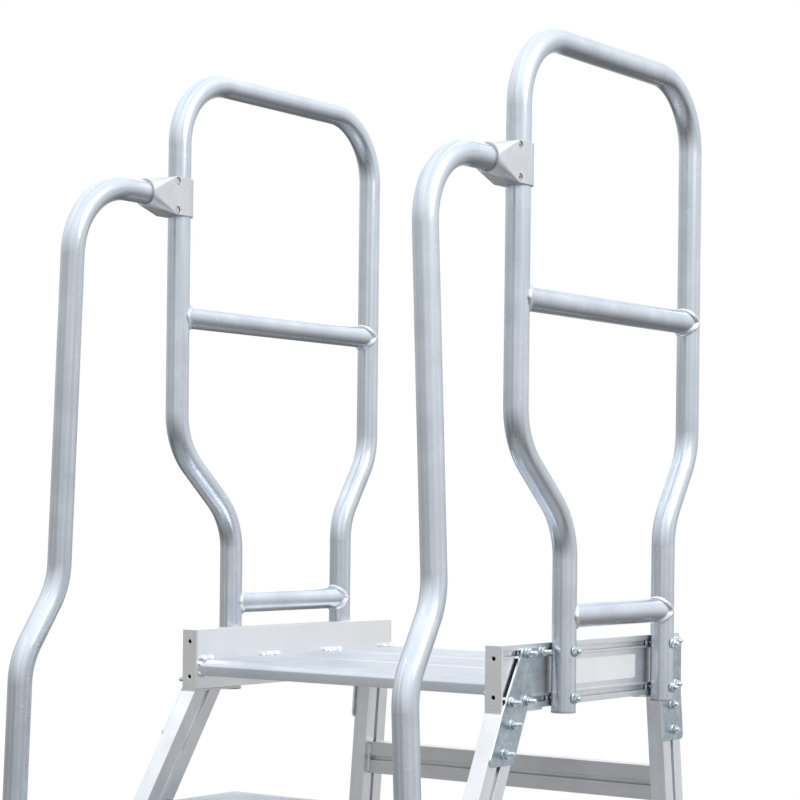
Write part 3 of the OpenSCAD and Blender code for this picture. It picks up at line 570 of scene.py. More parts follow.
TUBE = Metal("tube_aluminium", (0.735, 0.775, 0.83), (0.57, 0.61, 0.665), (0.18, 0.32),
             (260.0, 5.0), 0.35, 0.4, line_depth=0.00002, patch_scale=16.0, speck_share=0.07,
             scratch_share=0.5, on_tube=True)
PROFILE = Metal("profile_aluminium", (0.93, 0.935, 0.95), (0.70, 0.71, 0.73), (0.26, 0.42))
# Painted light: a brighter copy of the profile, for the left beam, whose inner face takes more
# light
LIT_PROFILE = Metal("lit_profile", (0.99, 0.99, 0.995), (0.90, 0.905, 0.91), (0.26, 0.40),
                      slot=PROFILE.name)
# Painted shade: a darker copy of the profile for the braces, which stand in shade under the deck;
# it is also a little rougher
DULL_SHADED_PROFILE = Metal("dull_shaded_profile", (0.79, 0.785, 0.785), (0.62, 0.62, 0.625), (0.32, 0.46),
                     slot=PROFILE.name)
DECK = Metal("deck_aluminium", (0.72, 0.75, 0.79), (0.56, 0.59, 0.64), (0.26, 0.42))
END_PLATE = Metal("end_plate_aluminium", (0.92, 0.915, 0.91), (0.80, 0.795, 0.79), (0.38, 0.5),
                  (90.0, 60.0), line_share=0.3)
# The plate's edges get a near-white painted highlight
ZINC_PLATE = Metal("zinc_plate", (0.58, 0.65, 0.70), (0.27, 0.325, 0.37), (0.20, 0.38),
                   (60.0, 40.0), line_share=0.2, spangle=0.7, patch_scale=22.0,
                   edge_highlight=(0.95, 0.97, 0.98))
ZINC = Metal("zinc_fastener", (0.88, 0.93, 0.95), (0.42, 0.49, 0.54), (0.07, 0.18),
             (300.0, 300.0), patch_scale=120.0, scratch_share=0.1)
WELD = Metal("weld_aluminium", (0.90, 0.91, 0.93), (0.70, 0.71, 0.73), (0.22, 0.4),
             (500.0, 500.0), patch_scale=200.0, line_depth=0.0001, scratch_share=0.0)
DIE_CAST = Metal("die_cast", (0.78, 0.79, 0.81), (0.66, 0.67, 0.69), (0.36, 0.48),
                 (700.0, 700.0), line_share=0.4, line_depth=0.00006, patch_scale=40.0)
SCREW_STEEL = Metal("screw_steel", (0.72, 0.74, 0.76), (0.55, 0.57, 0.59), (0.2, 0.32),
                    (400.0, 400.0), scratch_share=0.1)
CASTOR_STEEL = Metal("castor_steel", (0.66, 0.71, 0.74), (0.46, 0.51, 0.55), (0.2, 0.36),
                     (80.0, 60.0), line_share=0.2, spangle=0.5, patch_scale=40.0)
GREY_PLASTIC = Moulded("grey_plastic", (0.30, 0.31, 0.32), (0.38, 0.39, 0.40))
WHEEL_PLASTIC = Moulded("wheel_plastic", (0.34, 0.35, 0.36), (0.42, 0.43, 0.44))
TYRE_RUBBER = Moulded("tyre_rubber", (0.085, 0.085, 0.09), (0.125, 0.125, 0.13), (0.6, 0.85),
                      dust=0.3)
RED_PAINT = Moulded("pedal_red", (0.55, 0.04, 0.03), (0.44, 0.035, 0.03), (0.3, 0.42),
                    coat=0.3, dust=0.08)
LABEL_FILM = Moulded("white_label", (0.90, 0.90, 0.90), (0.85, 0.85, 0.85), (0.3, 0.42),
                     grain_scale=120.0, grain_depth=0.0002, coat=0.2, dust=0.03)


class Shape:
    """A piece in the making: one mesh and the operators that shape it."""

    def __init__(self) -> None:
        """Starts with nothing."""
        self.bm = bmesh.new()

    @classmethod
    def of_node(cls, node: bpy.types.Object, flat: float = 0.5) -> "Shape":
        """Takes a merged copy of a solid's mesh.

        Args:
            node: the solid's object.
            flat: faces that meet at less than this angle become one.

        Returns:
            The copy.
        """
        made = cls()
        made.bm.from_mesh(node.data)
        bmesh.ops.remove_doubles(made.bm, verts=made.bm.verts, dist=1e-6)
        bmesh.ops.dissolve_limit(made.bm, angle_limit=radians(flat), verts=made.bm.verts,
                                 edges=made.bm.edges)
        return made

    def bevel(self, edges: Edges, width: float, segments: int = 2) -> "Shape":
        """Rounds edges.

        Args:
            edges: the edges.
            width: how far they are rounded.
            segments: steps of the rounding.

        Returns:
            The shape itself.
        """
        bmesh.ops.bevel(self.bm, geom=edges, offset=width, offset_type="OFFSET",
                        segments=segments, profile=0.5, affect="EDGES", clamp_overlap=False,
                        material=-1)
        return self

    def soften(self, width: float) -> "Shape":
        """Rounds each edge that is sharp enough, and returns the shape."""
        return self.bevel([e for e in self.bm.edges if len(e.link_faces) == 2
                           and e.calc_face_angle(0.0) > radians(BROKEN_FROM)], width)

    def ring(self, radius: float, sides: int, at: Matrix) -> Edges:
        """Lays a ring in the XY plane of a frame, and returns its edges."""
        made = bmesh.ops.create_circle(self.bm, radius=radius, segments=sides, matrix=at)
        return list({e for v in made["verts"] for e in v.link_edges})

    def carry(self, edges: Edges, move: Matrix) -> Edges:
        """Draws a ring on.

        Args:
            edges: the ring.
            move: the move from it to the new ring.

        Returns:
            The new ring's edges.
        """
        made = bmesh.ops.extrude_edge_only(self.bm, edges=edges)["geom"]
        verts = {g for g in made if isinstance(g, bmesh.types.BMVert)}
        bmesh.ops.transform(self.bm, matrix=move, verts=list(verts))
        return [g for g in made if isinstance(g, bmesh.types.BMEdge) and verts.issuperset(g.verts)]

    def cap(self, edges: Edges) -> None:
        """Closes a ring."""
        bmesh.ops.contextual_create(self.bm, geom=edges)

    def drawn(self, edges: Edges, *moves: Matrix) -> None:
        """Closes a ring, draws it on and closes its end.

        Args:
            edges: the ring.
            moves: the moves that draw it on, one after another.
        """
        self.cap(edges)
        for move in moves:
            edges = self.carry(edges, move)
        self.cap(edges)

    def turned(self, outline: Sequence[tuple[float, float]], sides: int, at: Matrix) -> "Shape":
        """Turns an outline about the Z axis of a frame.

        Args:
            outline: pairs of radius and height, which end where they start.
            sides: steps of the full turn.
            at: the frame.

        Returns:
            The shape itself.
        """
        verts = [self.bm.verts.new(at @ Vector((r, 0, z))) for r, z in outline]
        edges = [self.bm.edges.new(pair) for pair in zip(verts, verts[1:])]
        bmesh.ops.spin(self.bm, geom=[*verts, *edges], cent=at.translation,
                       axis=at.to_3x3().col[2], angle=2 * pi, steps=sides, use_merge=True)
        bmesh.ops.remove_doubles(self.bm, verts=self.bm.verts, dist=1e-7)
        return self

    def block(self, size: Sequence[float], at: Matrix, taper: float = 1.0) -> "Shape":
        """Adds a block.

        Args:
            size: its three sides.
            at: the frame that it has its middle at.
            taper: the top's share of the bottom's width.

        Returns:
            The shape itself.
        """
        made = bmesh.ops.create_cube(self.bm, size=1.0, matrix=Matrix.Diagonal((*size, 1)))
        top = [v for v in made["verts"] if v.co.z > 0]
        bmesh.ops.scale(self.bm, vec=(taper, taper, 1), verts=top)
        bmesh.ops.transform(self.bm, matrix=at, verts=made["verts"])
        return self

    def bead(self, points: Sequence[Vector], outward: Sequence[Vector], radius: float,
             closed: bool = False, seed: float = 0.0) -> None:
        """Lays a weld bead: a lumpy ring carried from point to point.

        Args:
            points: the bead's middle line.
            outward: at each point, a direction square to the line.
            radius: the bead's usual radius.
            closed: whether the line ends where it starts.
            seed: shifts the lumps.
        """
        count, edges, first, last = len(points), [], [], Matrix()
        for i, point in enumerate(points):
            ahead = points[(i + 1) % count] if closed or i + 1 < count else point
            behind = points[i - 1] if closed or i else point
            along = (ahead - behind).normalized()
            side = outward[i].cross(along).normalized()
            lump = noise.noise(point * LUMPS + Vector((seed, 0, 0)))
            lump = 1.0 + SWELL * lump + RIPPLE * (i % 2)
            if not closed and i in (0, count - 1):
                lump *= BEAD_END
            frame = Matrix((side, along.cross(side), along)).transposed().to_4x4()
            frame.translation = point
            frame = frame @ Matrix.Diagonal((lump, lump, 1, 1))
            if edges:
                edges = self.carry(edges, frame @ last.inverted())
            else:
                edges = first = self.ring(radius, BEAD_SIDES, frame)
            last = frame
        if closed:
            bmesh.ops.bridge_loops(self.bm, edges=[*first, *edges])
        else:
            self.cap(first)
            self.cap(edges)

    def seam(self, start: Sequence[float], end: Sequence[float], outward: Sequence[float],
             radius: float = 0.0026) -> None:
        """Lays a straight weld bead, and its mirror image on the other side.

        Args:
            start: where the bead starts.
            end: where it ends.
            outward: a direction square to it.
            radius: its usual radius.
        """
        a, b = Vector(start), Vector(end)
        steps = max(3, round((b - a).length / BEAD_STEP))
        for side in (1, -1):
            flip = Vector((side, 1, 1))
            self.bead([a.lerp(b, i / steps) * flip for i in range(steps + 1)],
                      [Vector(outward) * flip] * (steps + 1), radius, seed=side * a.length * 90)

    def stamp(self, other: bpy.types.Mesh, at: Matrix) -> None:
        """Adds a copy of a mesh.

        Args:
            other: the mesh.
            at: the frame of the copy, which may be mirrored.
        """
        copy = other.copy()
        copy.transform(at)
        if at.determinant() < 0:
            copy.flip_normals()
        self.bm.from_mesh(copy)
        bpy.data.meshes.remove(copy)

    def outward(self) -> "Shape":
        """Turns all faces outwards, and returns the shape."""
        bmesh.ops.recalc_face_normals(self.bm, faces=self.bm.faces)
        return self

    def mesh(self, name: str) -> bpy.types.Mesh:
        """Finishes the mesh, smooth except at its sharp edges.

        Args:
            name: the mesh's name.

        Returns:
            The mesh.
        """
        made = bpy.data.meshes.new(name)
        self.bm.to_mesh(made)
        self.bm.free()
        made.shade_smooth()
        made.set_sharp_from_angle(angle=radians(SHARP_FROM))
        return made


@dataclass
class SubAssembly:
    """Pieces that belong together, with what their making needs."""

    sizes: Sizes
    nodes: dict[str, bpy.types.Object]

    def build(self) -> None:
        """Builds the pieces, which each sub-assembly does in its own way."""
        raise NotImplementedError

    def add(self, name: str, shape: Shape, finish: Finish, replaced: Iterable[str] = (),
            slot: str = "", run: Run = Run.UPRIGHT, body: str = "frame",
            even: bool = False) -> None:
        """Makes a piece of a shape.

        Args:
            name: the piece's name.
            shape: its shape.
            finish: what it is made of.
            replaced: solids that it stands for.
            slot: the record's material slot, where it isn't the finish's own; worked out but not
                given to the piece.
            run: the way it was drawn.
            body: the body that it rides on.
            even: whether its flat faces are shaded flat up to their rounded edges.
        """
        piece = new_object(name, shape.mesh(name))
        piece.data.materials.append(finish.material(run))
        if even:
            flat = piece.modifiers.new("even_faces", "WEIGHTED_NORMAL")
            flat.keep_sharp, flat.weight = True, 90
        slot = slot or finish.slot or finish.name
        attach(piece, body)
        if replaced:
            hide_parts(*replaced)
        log.info("%s: %d faces, %s", name, len(piece.data.polygons), finish.name)

    def softened(self, node: str, finish: Finish, width: float = 0.0005,
                 run: Run = Run.UPRIGHT, body: str = "frame", flat: float = 0.5) -> None:
        """Makes a piece of a solid whose shape is right, with its edges broken."""
        shape = Shape.of_node(self.nodes[node], flat).soften(width)
        self.add(node + "_piece", shape, finish, (node,), run=run, body=body, even=True)


@dataclass
class Platform(SubAssembly):
    """Side beams, end plates, deck planks, head plates and the blank label."""

    # Where the deck is tacked to a beam: start from the beam's front end, and length
    tacks: tuple[tuple[float, float], ...] = ((0.008, 0.036), (0.170, 0.056), (0.352, 0.056),
                                              (0.528, 0.040))
    tack_r: float = 0.0056
    # A bead's middle line, in from the beam and up from the deck
    bead_in: float = 0.0012
    bead_up: float = 0.0010
    # Beads at the nosing: further in, both ends' distance behind it and height over the
    # deck, the slope that they face, and radius
    nose_back: float = 0.005
    nose_beads: tuple[tuple[float, ...], ...] = (
        (0.0, 0.001, -0.011, 0.009, -0.002, 0.4, 0.0034),
        (0.001, -0.001, -0.023, 0.016, -0.028, -0.6, 0.0046))
    label_corner: float = 0.003

    def build(self) -> None:
        """Builds the platform."""
        # The left beam takes the brighter copy of the profile: painted light
        for side, finish in (("left", LIT_PROFILE), ("right", PROFILE)):
            self.softened(f"side_beam_{side}", finish, run=Run.LENGTHWISE)
        self.softened("beam_end_plates", END_PLATE, 0.0011)
        self.softened("leg_head_plates", END_PLATE)
        for part in ("front", "middle", "rear"):
            self.softened(f"deck_plank_{part}", DECK, 0.00022, Run.ACROSS)
        self.label()
        self.welds()

    def label(self) -> None:
        """Builds the label: a blank film with round corners."""
        shape = Shape.of_node(self.nodes["blank_label"])
        shape.bevel([e for e in shape.bm.edges if abs(e.verts[0].co.x - e.verts[1].co.x) > 1e-5],
                    self.label_corner, 5)
        self.add("blank_label_film", shape, LABEL_FILM, ("blank_label",))

    def welds(self) -> None:
        """Builds the tacks between deck and beams."""
        shape, s = Shape(), self.sizes
        front = s.middle_y - s.beam_len / 2
        x, z = s.deck_half - self.bead_in, s.deck_z + self.bead_up
        for start, length in self.tacks:
            y = front + start
            shape.seam((x, y, z), (x, y + length, z), (-1, 0, 1), self.tack_r)
        nose, deck = front + self.nose_back, s.deck_z
        for inward, back_a, up_a, back_b, up_b, slope, radius in self.nose_beads:
            shape.seam((x - inward, nose + back_a, deck + up_a),
                       (x - inward, nose + back_b, deck + up_b), (-1, 0, slope), radius)
        self.add("deck_welds", shape.outward(), WELD, slot=DECK.name)


@dataclass
class Flight(SubAssembly):
    """Stiles, treads and the welds between them."""

    treads: int = 5
    rise: float = 0.240
    # How far the seams stop short of the stile's front and rear edges
    short: tuple[float, float] = (0.012, 0.004)

    def build(self) -> None:
        """Builds the flight."""
        for run in (Run.STILE_LEFT, Run.STILE_RIGHT):
            self.softened("front_" + run.name.lower(), PROFILE, run=run)
        for i in range(1, self.treads + 1):
            self.softened(f"tread_{i}", DECK, 0.00022, Run.ACROSS)
        self.welds()

    def welds(self) -> None:
        """Builds the seams on and under each tread's ends."""
        shape, s = Shape(), self.sizes
        for i in range(1, self.treads + 1):
            top = s.deck_z - i * self.rise
            for z, up in ((top, 1), (top - s.tread_h, -1)):
                y, x = s.middle_y + s.stile_at(z), s.inner_x(z)
                shape.seam((x, y - s.stile_half + self.short[0], z),
                           (x, y + s.stile_half - self.short[1], z), (-1, 0, up))
        self.add("tread_welds", shape.outward(), WELD, slot=DECK.name)


@dataclass
class RearFrame(SubAssembly):
    """Rear legs, rear braces and side braces."""

    brace_z: tuple[float, ...] = (1.228, 0.530)
    short: float = 0.002
    # A side brace's seams: in from the leg's face at the brace's top, how far they lean out
    # on the way down, and their ends below that top
    side_in: tuple[float, float] = (0.0055, 0.0245)
    side_lean: float = 0.0028
    side_down: tuple[float, float] = (0.041, 0.003)

    def build(self) -> None:
        """Builds the rear frame."""
        for run in (Run.LEG_LEFT, Run.LEG_RIGHT):
            self.softened("rear_" + run.name.lower(), PROFILE, run=run)
        for part in ("upper", "lower"):
            # The braces take the darker copy of the profile: painted shade
            self.softened(f"rear_brace_{part}", DULL_SHADED_PROFILE, run=Run.ACROSS)
        self.softened("side_braces", DULL_SHADED_PROFILE, 0.0008, Run.LENGTHWISE)
        self.welds()

    def welds(self) -> None:
        """Builds the seams at the ends of the braces."""
        shape, s = Shape(), self.sizes
        for middle in self.brace_z:
            low, high = middle - s.leg_d / 2, middle + s.leg_d / 2
            for face in (-1, 1):
                y = s.middle_y + s.leg_y + face * s.leg_w / 2
                shape.seam((s.inner_x(low), y, low + self.short),
                           (s.inner_x(high), y, high - self.short), (-1, face, 0))
        corner, (low, high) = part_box("side_braces")[1], self.side_down
        for inward in self.side_in:
            x = s.face_x(corner.z) - inward
            shape.seam((x + self.side_lean, corner.y, corner.z - low),
                       (x, corner.y, corner.z - high), (1, -1, 0))
        self.add("brace_welds", shape.outward(), WELD, slot=PROFILE.name)


@dataclass
class Gussets(SubAssembly):
    """The four zinc-plated gusset plates."""

    # How quickly the painted edge highlight comes in as a face turns away from X
    highlight_gain: float = 1.3

    def build(self) -> None:
        """Builds the plates, with a painted highlight on their edges."""
        for node in (f"gusset_{end}_{side}" for end in ("front", "rear")
                     for side in ("left", "right")):
            shape = Shape.of_node(self.nodes[node]).soften(0.0005)
            # The rim value carries the painted edge highlight, strongest on faces square to the
            # plate
            rim = shape.bm.verts.layers.float.new("rim")
            shape.bm.normal_update()
            for v in shape.bm.verts:
                v[rim] = min(1.0, self.highlight_gain * (1.0 - abs(v.normal.x)))
            self.add(node + "_piece", shape, ZINC_PLATE, (node,), even=True)


@dataclass
class Fasteners(SubAssembly):
    """Slot bolts, flange nuts and the castors' bolts."""

    castors: Sequence[Vector]
    bracket_down: float
    bolt_r: float = 0.004
    flange_r: float = 0.009
    knurls: int = 36
    knurl_share: float = 0.95
    nut_r: float = 0.0075
    nut_h: float = 0.008
    stub: float = 0.005
    front_stub: float = 0.012
    pitch: float = 0.00125
    root_share: float = 0.87
    slot_head: tuple[float, float, float] = (0.004, 0.026, 0.012)
    head_x: float = -0.0042
    front_half: float = 0.021
    rear_half: float = 0.014
    drops: tuple[float, float] = (0.022, 0.066)
    bracket_half: float = 0.038
    bracket_foot_t: float = 0.006
    plate_bolt: tuple[float, float] = (0.038, 0.027)
    plate_under: float = 0.152
    plate_grip: float = 0.006
    # Each nut and head is turned by this angle for each metre of its place, so none match
    nut_spin: float = 5700.0
    plate_spin: float = 3100.0

    def build(self) -> None:
        """Builds the bolts and nuts at their places."""
        nut, hex_head = self.nut().mesh("nut_pattern"), self.hex_head().mesh("hex_pattern")
        head = Shape().block(self.slot_head, place(self.head_x, 0, 0)).soften(0.0008)
        head = head.mesh("head_pattern")
        nuts, bolts, plate_bolts = Shape(), Shape(), Shape()
        for at, grip, stub, quarter in self.places():
            spin = turn(self.nut_spin * (at.translation.y + at.translation.z), "X")
            for side in (Matrix(), MIRROR):
                nuts.stamp(nut, side @ at @ place(grip, 0, 0) @ spin)
                bolts.stamp(head, side @ at @ turn(quarter, "X"))
                bolts.stamp(self.rod(grip, stub), side @ at)
        for at in self.plate_places():
            spin = turn(self.plate_spin * at.translation.x, "X")
            nuts.stamp(nut, at @ place(self.plate_grip, 0, 0) @ spin)
            plate_bolts.stamp(hex_head, at @ spin)
            plate_bolts.stamp(self.rod(self.plate_grip, self.stub), at)
        for node, shape in (("flange_nuts", nuts), ("slot_bolts", bolts),
                            ("castor_bolts", plate_bolts)):
            self.add(node + "_piece", shape, ZINC, (node,))

    def places(self) -> list[tuple[Matrix, float, float, float]]:
        """Finds the right-hand slot bolts.

        Returns:
            For each bolt its frame with X pointing out of the slot, its grip, the thread
            past its nut, and the turn that lays its head along the slot.
        """
        s, found = self.sizes, []
        slots = (s.beam_top - s.slot_inset, s.beam_bottom + s.slot_inset)
        for y, slant, half, stub in ((s.stile_y, s.rake, self.front_half, self.front_stub),
                                     (s.leg_y, 0.0, self.rear_half, self.stub)):
            lean = tan(radians(slant))
            for z in slots:
                for side in (-1, 1):
                    at = y + (z - s.beam_bottom) * lean + side * half
                    found.append((place(s.beam_face, at, z), s.gusset_t, stub, 0.0))
            for down in self.drops:
                at = s.on_leg(y) @ place(0, -down * lean, -down) @ turn(-slant, "X")
                found.append((at, s.gusset_t, stub, 90.0))
        for y in (-s.front_foot, s.rear_foot):
            found += [(place(s.beam_face, y, z), 2 * s.tube_r, self.stub, 0.0) for z in slots]
        for side in (-1, 1):
            found.append((s.on_stile(self.bracket_down + side * self.bracket_half),
                          self.bracket_foot_t, self.stub, 90.0))
        return [(place(0, s.middle_y, 0) @ at, *rest) for at, *rest in found]

    def plate_places(self) -> list[Matrix]:
        """Finds the castor bolts.

        Returns:
            For each its frame, X pointing up from the plate's lower face.
        """
        long, wide = self.plate_bolt
        return [place(c.x + x * long, c.y + y * wide, self.plate_under) @ turn(-90, "Y")
                for c in self.castors for x in (-1, 1) for y in (-1, 1)]

    def nut(self) -> Shape:
        """Makes a flange nut along X, with a knurled rim and a chamfered hexagon.

        Returns:
            The nut.
        """
        shape = Shape()
        rim = shape.ring(self.flange_r, self.knurls, facing_x())
        for v in {v for e in rim for v in e.verts}:
            step = round(Vector((0, 1, 0)).angle(v.co) * self.knurls / (2 * pi))
            v.co *= self.knurl_share if step % 2 else 1.0
        shape.drawn(rim, onward(0.0009), onward(0.0012, 0.8))
        # The flats, their chamfer, the flat top and the countersink round the bolt
        shape.drawn(shape.ring(self.nut_r, 6, facing_x(0.001)), onward(self.nut_h - 0.0018),
                    onward(0.0008, 0.9), onward(0, 0.66), onward(-0.0012, 0.9))
        return shape.outward()

    def hex_head(self) -> Shape:
        """Makes a bolt's hexagon head below X = 0, with its washer face.

        Returns:
            The head.
        """
        shape = Shape()
        shape.drawn(shape.ring(self.nut_r * 0.88, 6, facing_x(-0.005)), onward(0.0008, 1.136),
                    onward(0.0036))
        shape.drawn(shape.ring(self.nut_r * 0.98, 24, facing_x(-0.0007)), onward(0.0007))
        return shape.outward()

    def rod(self, grip: float, stub: float) -> bpy.types.Mesh:
        """Makes a bolt's rod: plain up into its nut, and threaded past it.

        Args:
            grip: thickness that the bolt holds, from X = 0 on.
            stub: length of the thread past the nut.

        Returns:
            The mesh, made once for each pair of lengths.
        """
        name = f"rod_{round(grip * 1000)}_{round(stub * 1000)}"
        known = bpy.data.meshes.get(name)
        if known:
            return known
        shape, top = Shape(), grip + self.nut_h
        shape.drawn(shape.ring(self.bolt_r - 0.0002, 18, facing_x(-0.003)), onward(top + 0.003))
        # A little more thread than shows, so that it starts inside the nut
        turns = round((stub + 0.001) / self.pitch)
        flanks = [onward(-self.pitch / 2, self.root_share),
                  onward(-self.pitch / 2, 1 / self.root_share)]
        shape.drawn(shape.ring(self.bolt_r * 0.82, 18, facing_x(top + stub)),
                    onward(-0.0007, 1.2), *flanks * turns)
        return shape.outward().mesh(name)


@dataclass
class TubePath:
    """A bent tube: straight runs, each with the bend that follows it."""

    radius: float
    bend_r: float
    steps: Sequence[tuple[float, float]]
    sides: int = 48
    # Angle between a bend's rings, and the length over which its streaks come and go
    bend_step: float = 3.0
    fade: float = 0.002

    def shape(self, at: Matrix, seed: float) -> Shape:
        """Builds the tube from a frame's origin along its Z, bends turning in its YZ plane.

        Each corner keeps its place on the tube before bending, for patterns that
        follow it, and whether it lies in a bend.

        Args:
            at: the frame at the tube's start.
            seed: shifts the patterns along the tube.

        Returns:
            The closed shape.
        """
        shape = Shape()
        straight = shape.bm.verts.layers.float_vector.new("straight")
        bent = shape.bm.verts.layers.float.new("bend")
        edges = shape.ring(self.radius, self.sides, at)
        run, frame = seed, at.copy()

        def note(in_bend: float) -> None:
            """Notes on the ring's corners where they are before bending.

            Args:
                in_bend: 1 in a bend, and 0 outside.
            """
            back = frame.inverted()
            for vert in {v for e in edges for v in e.verts}:
                own = back @ vert.co
                vert[straight] = Vector((own.x, own.y, run))
                vert[bent] = in_bend

        note(0.0)
        shape.cap(edges)
        for i, (length, angle) in enumerate(self.steps):
            after_bend, before_bend = i > 0, angle != 0
            marks = [(self.fade if after_bend else 0.0, 0.0),
                     (length - self.fade * (after_bend + before_bend), 0.0),
                     (self.fade if before_bend else 0.0, 1.0)]
            for part, in_bend in marks:
                if part > 0:
                    move = frame @ place(0, 0, part) @ frame.inverted()
                    edges = shape.carry(edges, move)
                    frame, run = move @ frame, run + part
                    note(in_bend)
            if angle:
                count = max(4, round(abs(angle) / self.bend_step))
                pivot = frame @ place(0, self.bend_r if angle > 0 else -self.bend_r, 0)
                step = pivot @ turn(-angle / count, "X") @ pivot.inverted()
                for _ in range(count):
                    edges = shape.carry(edges, step)
                    frame, run = step @ frame, run + self.bend_r * radians(abs(angle)) / count
                    note(1.0)
        shape.cap(edges)
        return shape.outward()


def aside(offset: float, angle: float, bend_r: float) -> tuple[float, float]:
    """Finds how two opposite bends step a tube aside.

    Args:
        offset: how far aside.
        angle: the angle of each bend.
        bend_r: radius of the tube's axis in the bends.

    Returns:
        The straight run between the bends, and the length that the whole step takes.
    """
    run = (offset - 2 * bend_r * (1 - cos(radians(angle)))) / sin(radians(angle))
    return run, 2 * bend_r * sin(radians(angle)) + run * cos(radians(angle))


@dataclass
class Guards(SubAssembly):
    """Both tube guards: hoops, rails, saddle welds and the plugs in their feet."""

    bend_r: float = 0.120
    front_slant: float = 48.7806
    rear_slant: float = 32.5204
    top_rail: float = 0.964
    mid_rail: float = 0.545
    low_rail: float = 0.043
    front_bend: float = 0.135
    rear_bend: float = 0.155
    foot_tail: float = 0.007
    # A rail's ends lie this far short of the posts' axes
    rail_short: float = 0.006
    saddle_steps: int = 56
    saddle_r: float = 0.0038
    saddle_out: float = 0.0008
    saddle_dip: float = 0.004
    saddle_slope: float = 0.6

    def build(self) -> None:
        """Builds both guards."""
        for side, sign in (("right", 1), ("left", -1)):
            name = f"guard_hoop_{side}"
            self.add(name + "_tube", self.hoop(sign), TUBE, (name,))
        self.rails()
        self.softened("tube_plugs", GREY_PLASTIC, 0.0006)

    def hoop(self, sign: int) -> Shape:
        """Makes one hoop, from its front foot over the top to its rear foot.

        Args:
            sign: 1 for the right side, and -1 for the left.

        Returns:
            The hoop.
        """
        s, r = self.sizes, self.bend_r
        foot = s.beam_bottom - self.foot_tail
        corner = self.top_rail - r
        front_run, front_rise = aside(s.front_post - s.front_foot, self.front_slant, r)
        rear_run, rear_rise = aside(s.rear_post - s.rear_foot, self.rear_slant, r)
        path = [(s.beam_top + self.front_bend - foot, -self.front_slant),
                (front_run, self.front_slant),
                (corner - self.front_bend - front_rise, 90.0),
                (s.front_post + s.rear_post - 2 * r, 90.0),
                (corner - self.rear_bend - rear_rise, self.rear_slant),
                (rear_run, -self.rear_slant),
                (s.beam_top + self.rear_bend - foot, 0.0)]
        start = place(sign * s.guard_x, s.middle_y - s.front_foot, foot)
        return TubePath(s.tube_r, r, path).shape(start, 3.0 + sign)

    def rails(self) -> None:
        """Builds the mid and lower rails, which reach into the posts, and their welds."""
        s, welds = self.sizes, Shape()
        for name, z, front, rear in (
                ("mid", s.beam_top + self.mid_rail, s.front_post, s.rear_post),
                ("lower", s.beam_top + self.low_rail, s.front_foot, s.rear_foot)):
            both, low, high = Shape(), s.middle_y - front, s.middle_y + rear
            tube = TubePath(s.tube_r, self.bend_r, [(front + rear - 2 * self.rail_short, 0.0)])
            for sign in (1, -1):
                x = sign * s.guard_x
                start = place(x, low + self.rail_short, z) @ turn(-90, "X")
                both.stamp(tube.shape(start, 9 + sign + z).mesh("rail"), Matrix())
                for y, way in ((low, 1), (high, -1)):
                    self.saddle(welds, Vector((x, y, z)), way)
            node = f"guard_{name}_rails"
            self.add(node + "_tube", both, TUBE, (node,))
        self.add("guard_welds", welds.outward(), WELD, slot=TUBE.name)

    def saddle(self, welds: Shape, centre: Vector, way: int) -> None:
        """Lays the bead where a rail meets a post of its own size.

        Args:
            welds: the shape that takes the bead.
            centre: where the two axes cross.
            way: 1 where the rail leaves towards +Y, and -1 towards -Y.
        """
        r, points, outward = self.sizes.tube_r + self.saddle_out, [], []
        for i in range(self.saddle_steps):
            angle = 2 * pi * i / self.saddle_steps
            side, up = cos(angle), sin(angle)
            reach = sqrt((r * up) ** 2 + self.saddle_dip ** 2)
            points.append(centre + Vector((r * side, way * reach, r * up)))
            outward.append(Vector((side, way * self.saddle_slope, up)).normalized())
        welds.bead(points, outward, self.saddle_r, closed=True,
                   seed=centre.y * 50 + centre.z * 9)


@dataclass
class GrabRails(SubAssembly):
    """Both grab rails with their clamps, clamp screws and lower brackets."""

    bend_r: float = 0.120
    clamp_up: float = 0.750
    clamp_wall: float = 0.004
    reach: float = 0.256
    step: float = 0.079
    slant: float = 32.5204
    upright: float = 0.515
    lean: float = 2.5
    tail: float = 0.045

    @property
    def clamp_z(self) -> float:
        """Height of the clamps' middles."""
        return self.sizes.beam_top + self.clamp_up

    @property
    def down(self) -> float:
        """How far below the clamp the bracket's middle is, along the rail."""
        s = self.sizes
        level = (s.stile_y + s.front_post + self.reach + self.step) / s.rake_run
        return (level + self.clamp_z - s.beam_bottom) / cos(radians(self.lean))

    @property
    def bracket_down(self) -> float:
        """The bracket's distance down the stile."""
        s = self.sizes
        z = self.clamp_z - self.down * cos(radians(self.lean))
        return (s.beam_bottom - z) / cos(radians(s.splay)) / cos(radians(s.rake))

    def build(self) -> None:
        """Builds both grab rails."""
        for side, sign in (("right", 1), ("left", -1)):
            name = f"grab_rail_{side}"
            self.add(name + "_tube", self.rail(sign), TUBE, (name,))
        for half in ("outer", "inner"):
            self.softened(f"clamp_{half}_halves", DIE_CAST, 0.0007, flat=1.0)
        self.softened("clamp_screws", SCREW_STEEL, 0.0002)
        self.softened("grab_brackets", DIE_CAST, 0.0008)

    def rail(self, sign: int) -> Shape:
        """Makes one grab rail, from its clamp down to its plug.

        Args:
            sign: 1 for the right side, and -1 for the left.

        Returns:
            The rail.
        """
        s, r, start = self.sizes, self.bend_r, self.sizes.tube_r + self.clamp_wall
        step_run, step_rise = aside(self.step, self.slant, r)
        path = [(self.reach - r - start, -90.0),
                (self.upright, self.slant),
                (step_run, -self.slant),
                (self.down + self.tail - r - self.upright - step_rise, 0.0)]
        at = (place(s.guard_x, s.middle_y - s.front_post, self.clamp_z)
              @ turn(-self.lean, "Y") @ place(0, -start, 0) @ turn(90, "X"))
        shape = TubePath(s.tube_r, r, path).shape(at, 20.0 + 5 * sign)
        if sign < 0:
            bmesh.ops.transform(shape.bm, matrix=MIRROR, verts=shape.bm.verts)
            bmesh.ops.reverse_faces(shape.bm, faces=shape.bm.faces)
        return shape


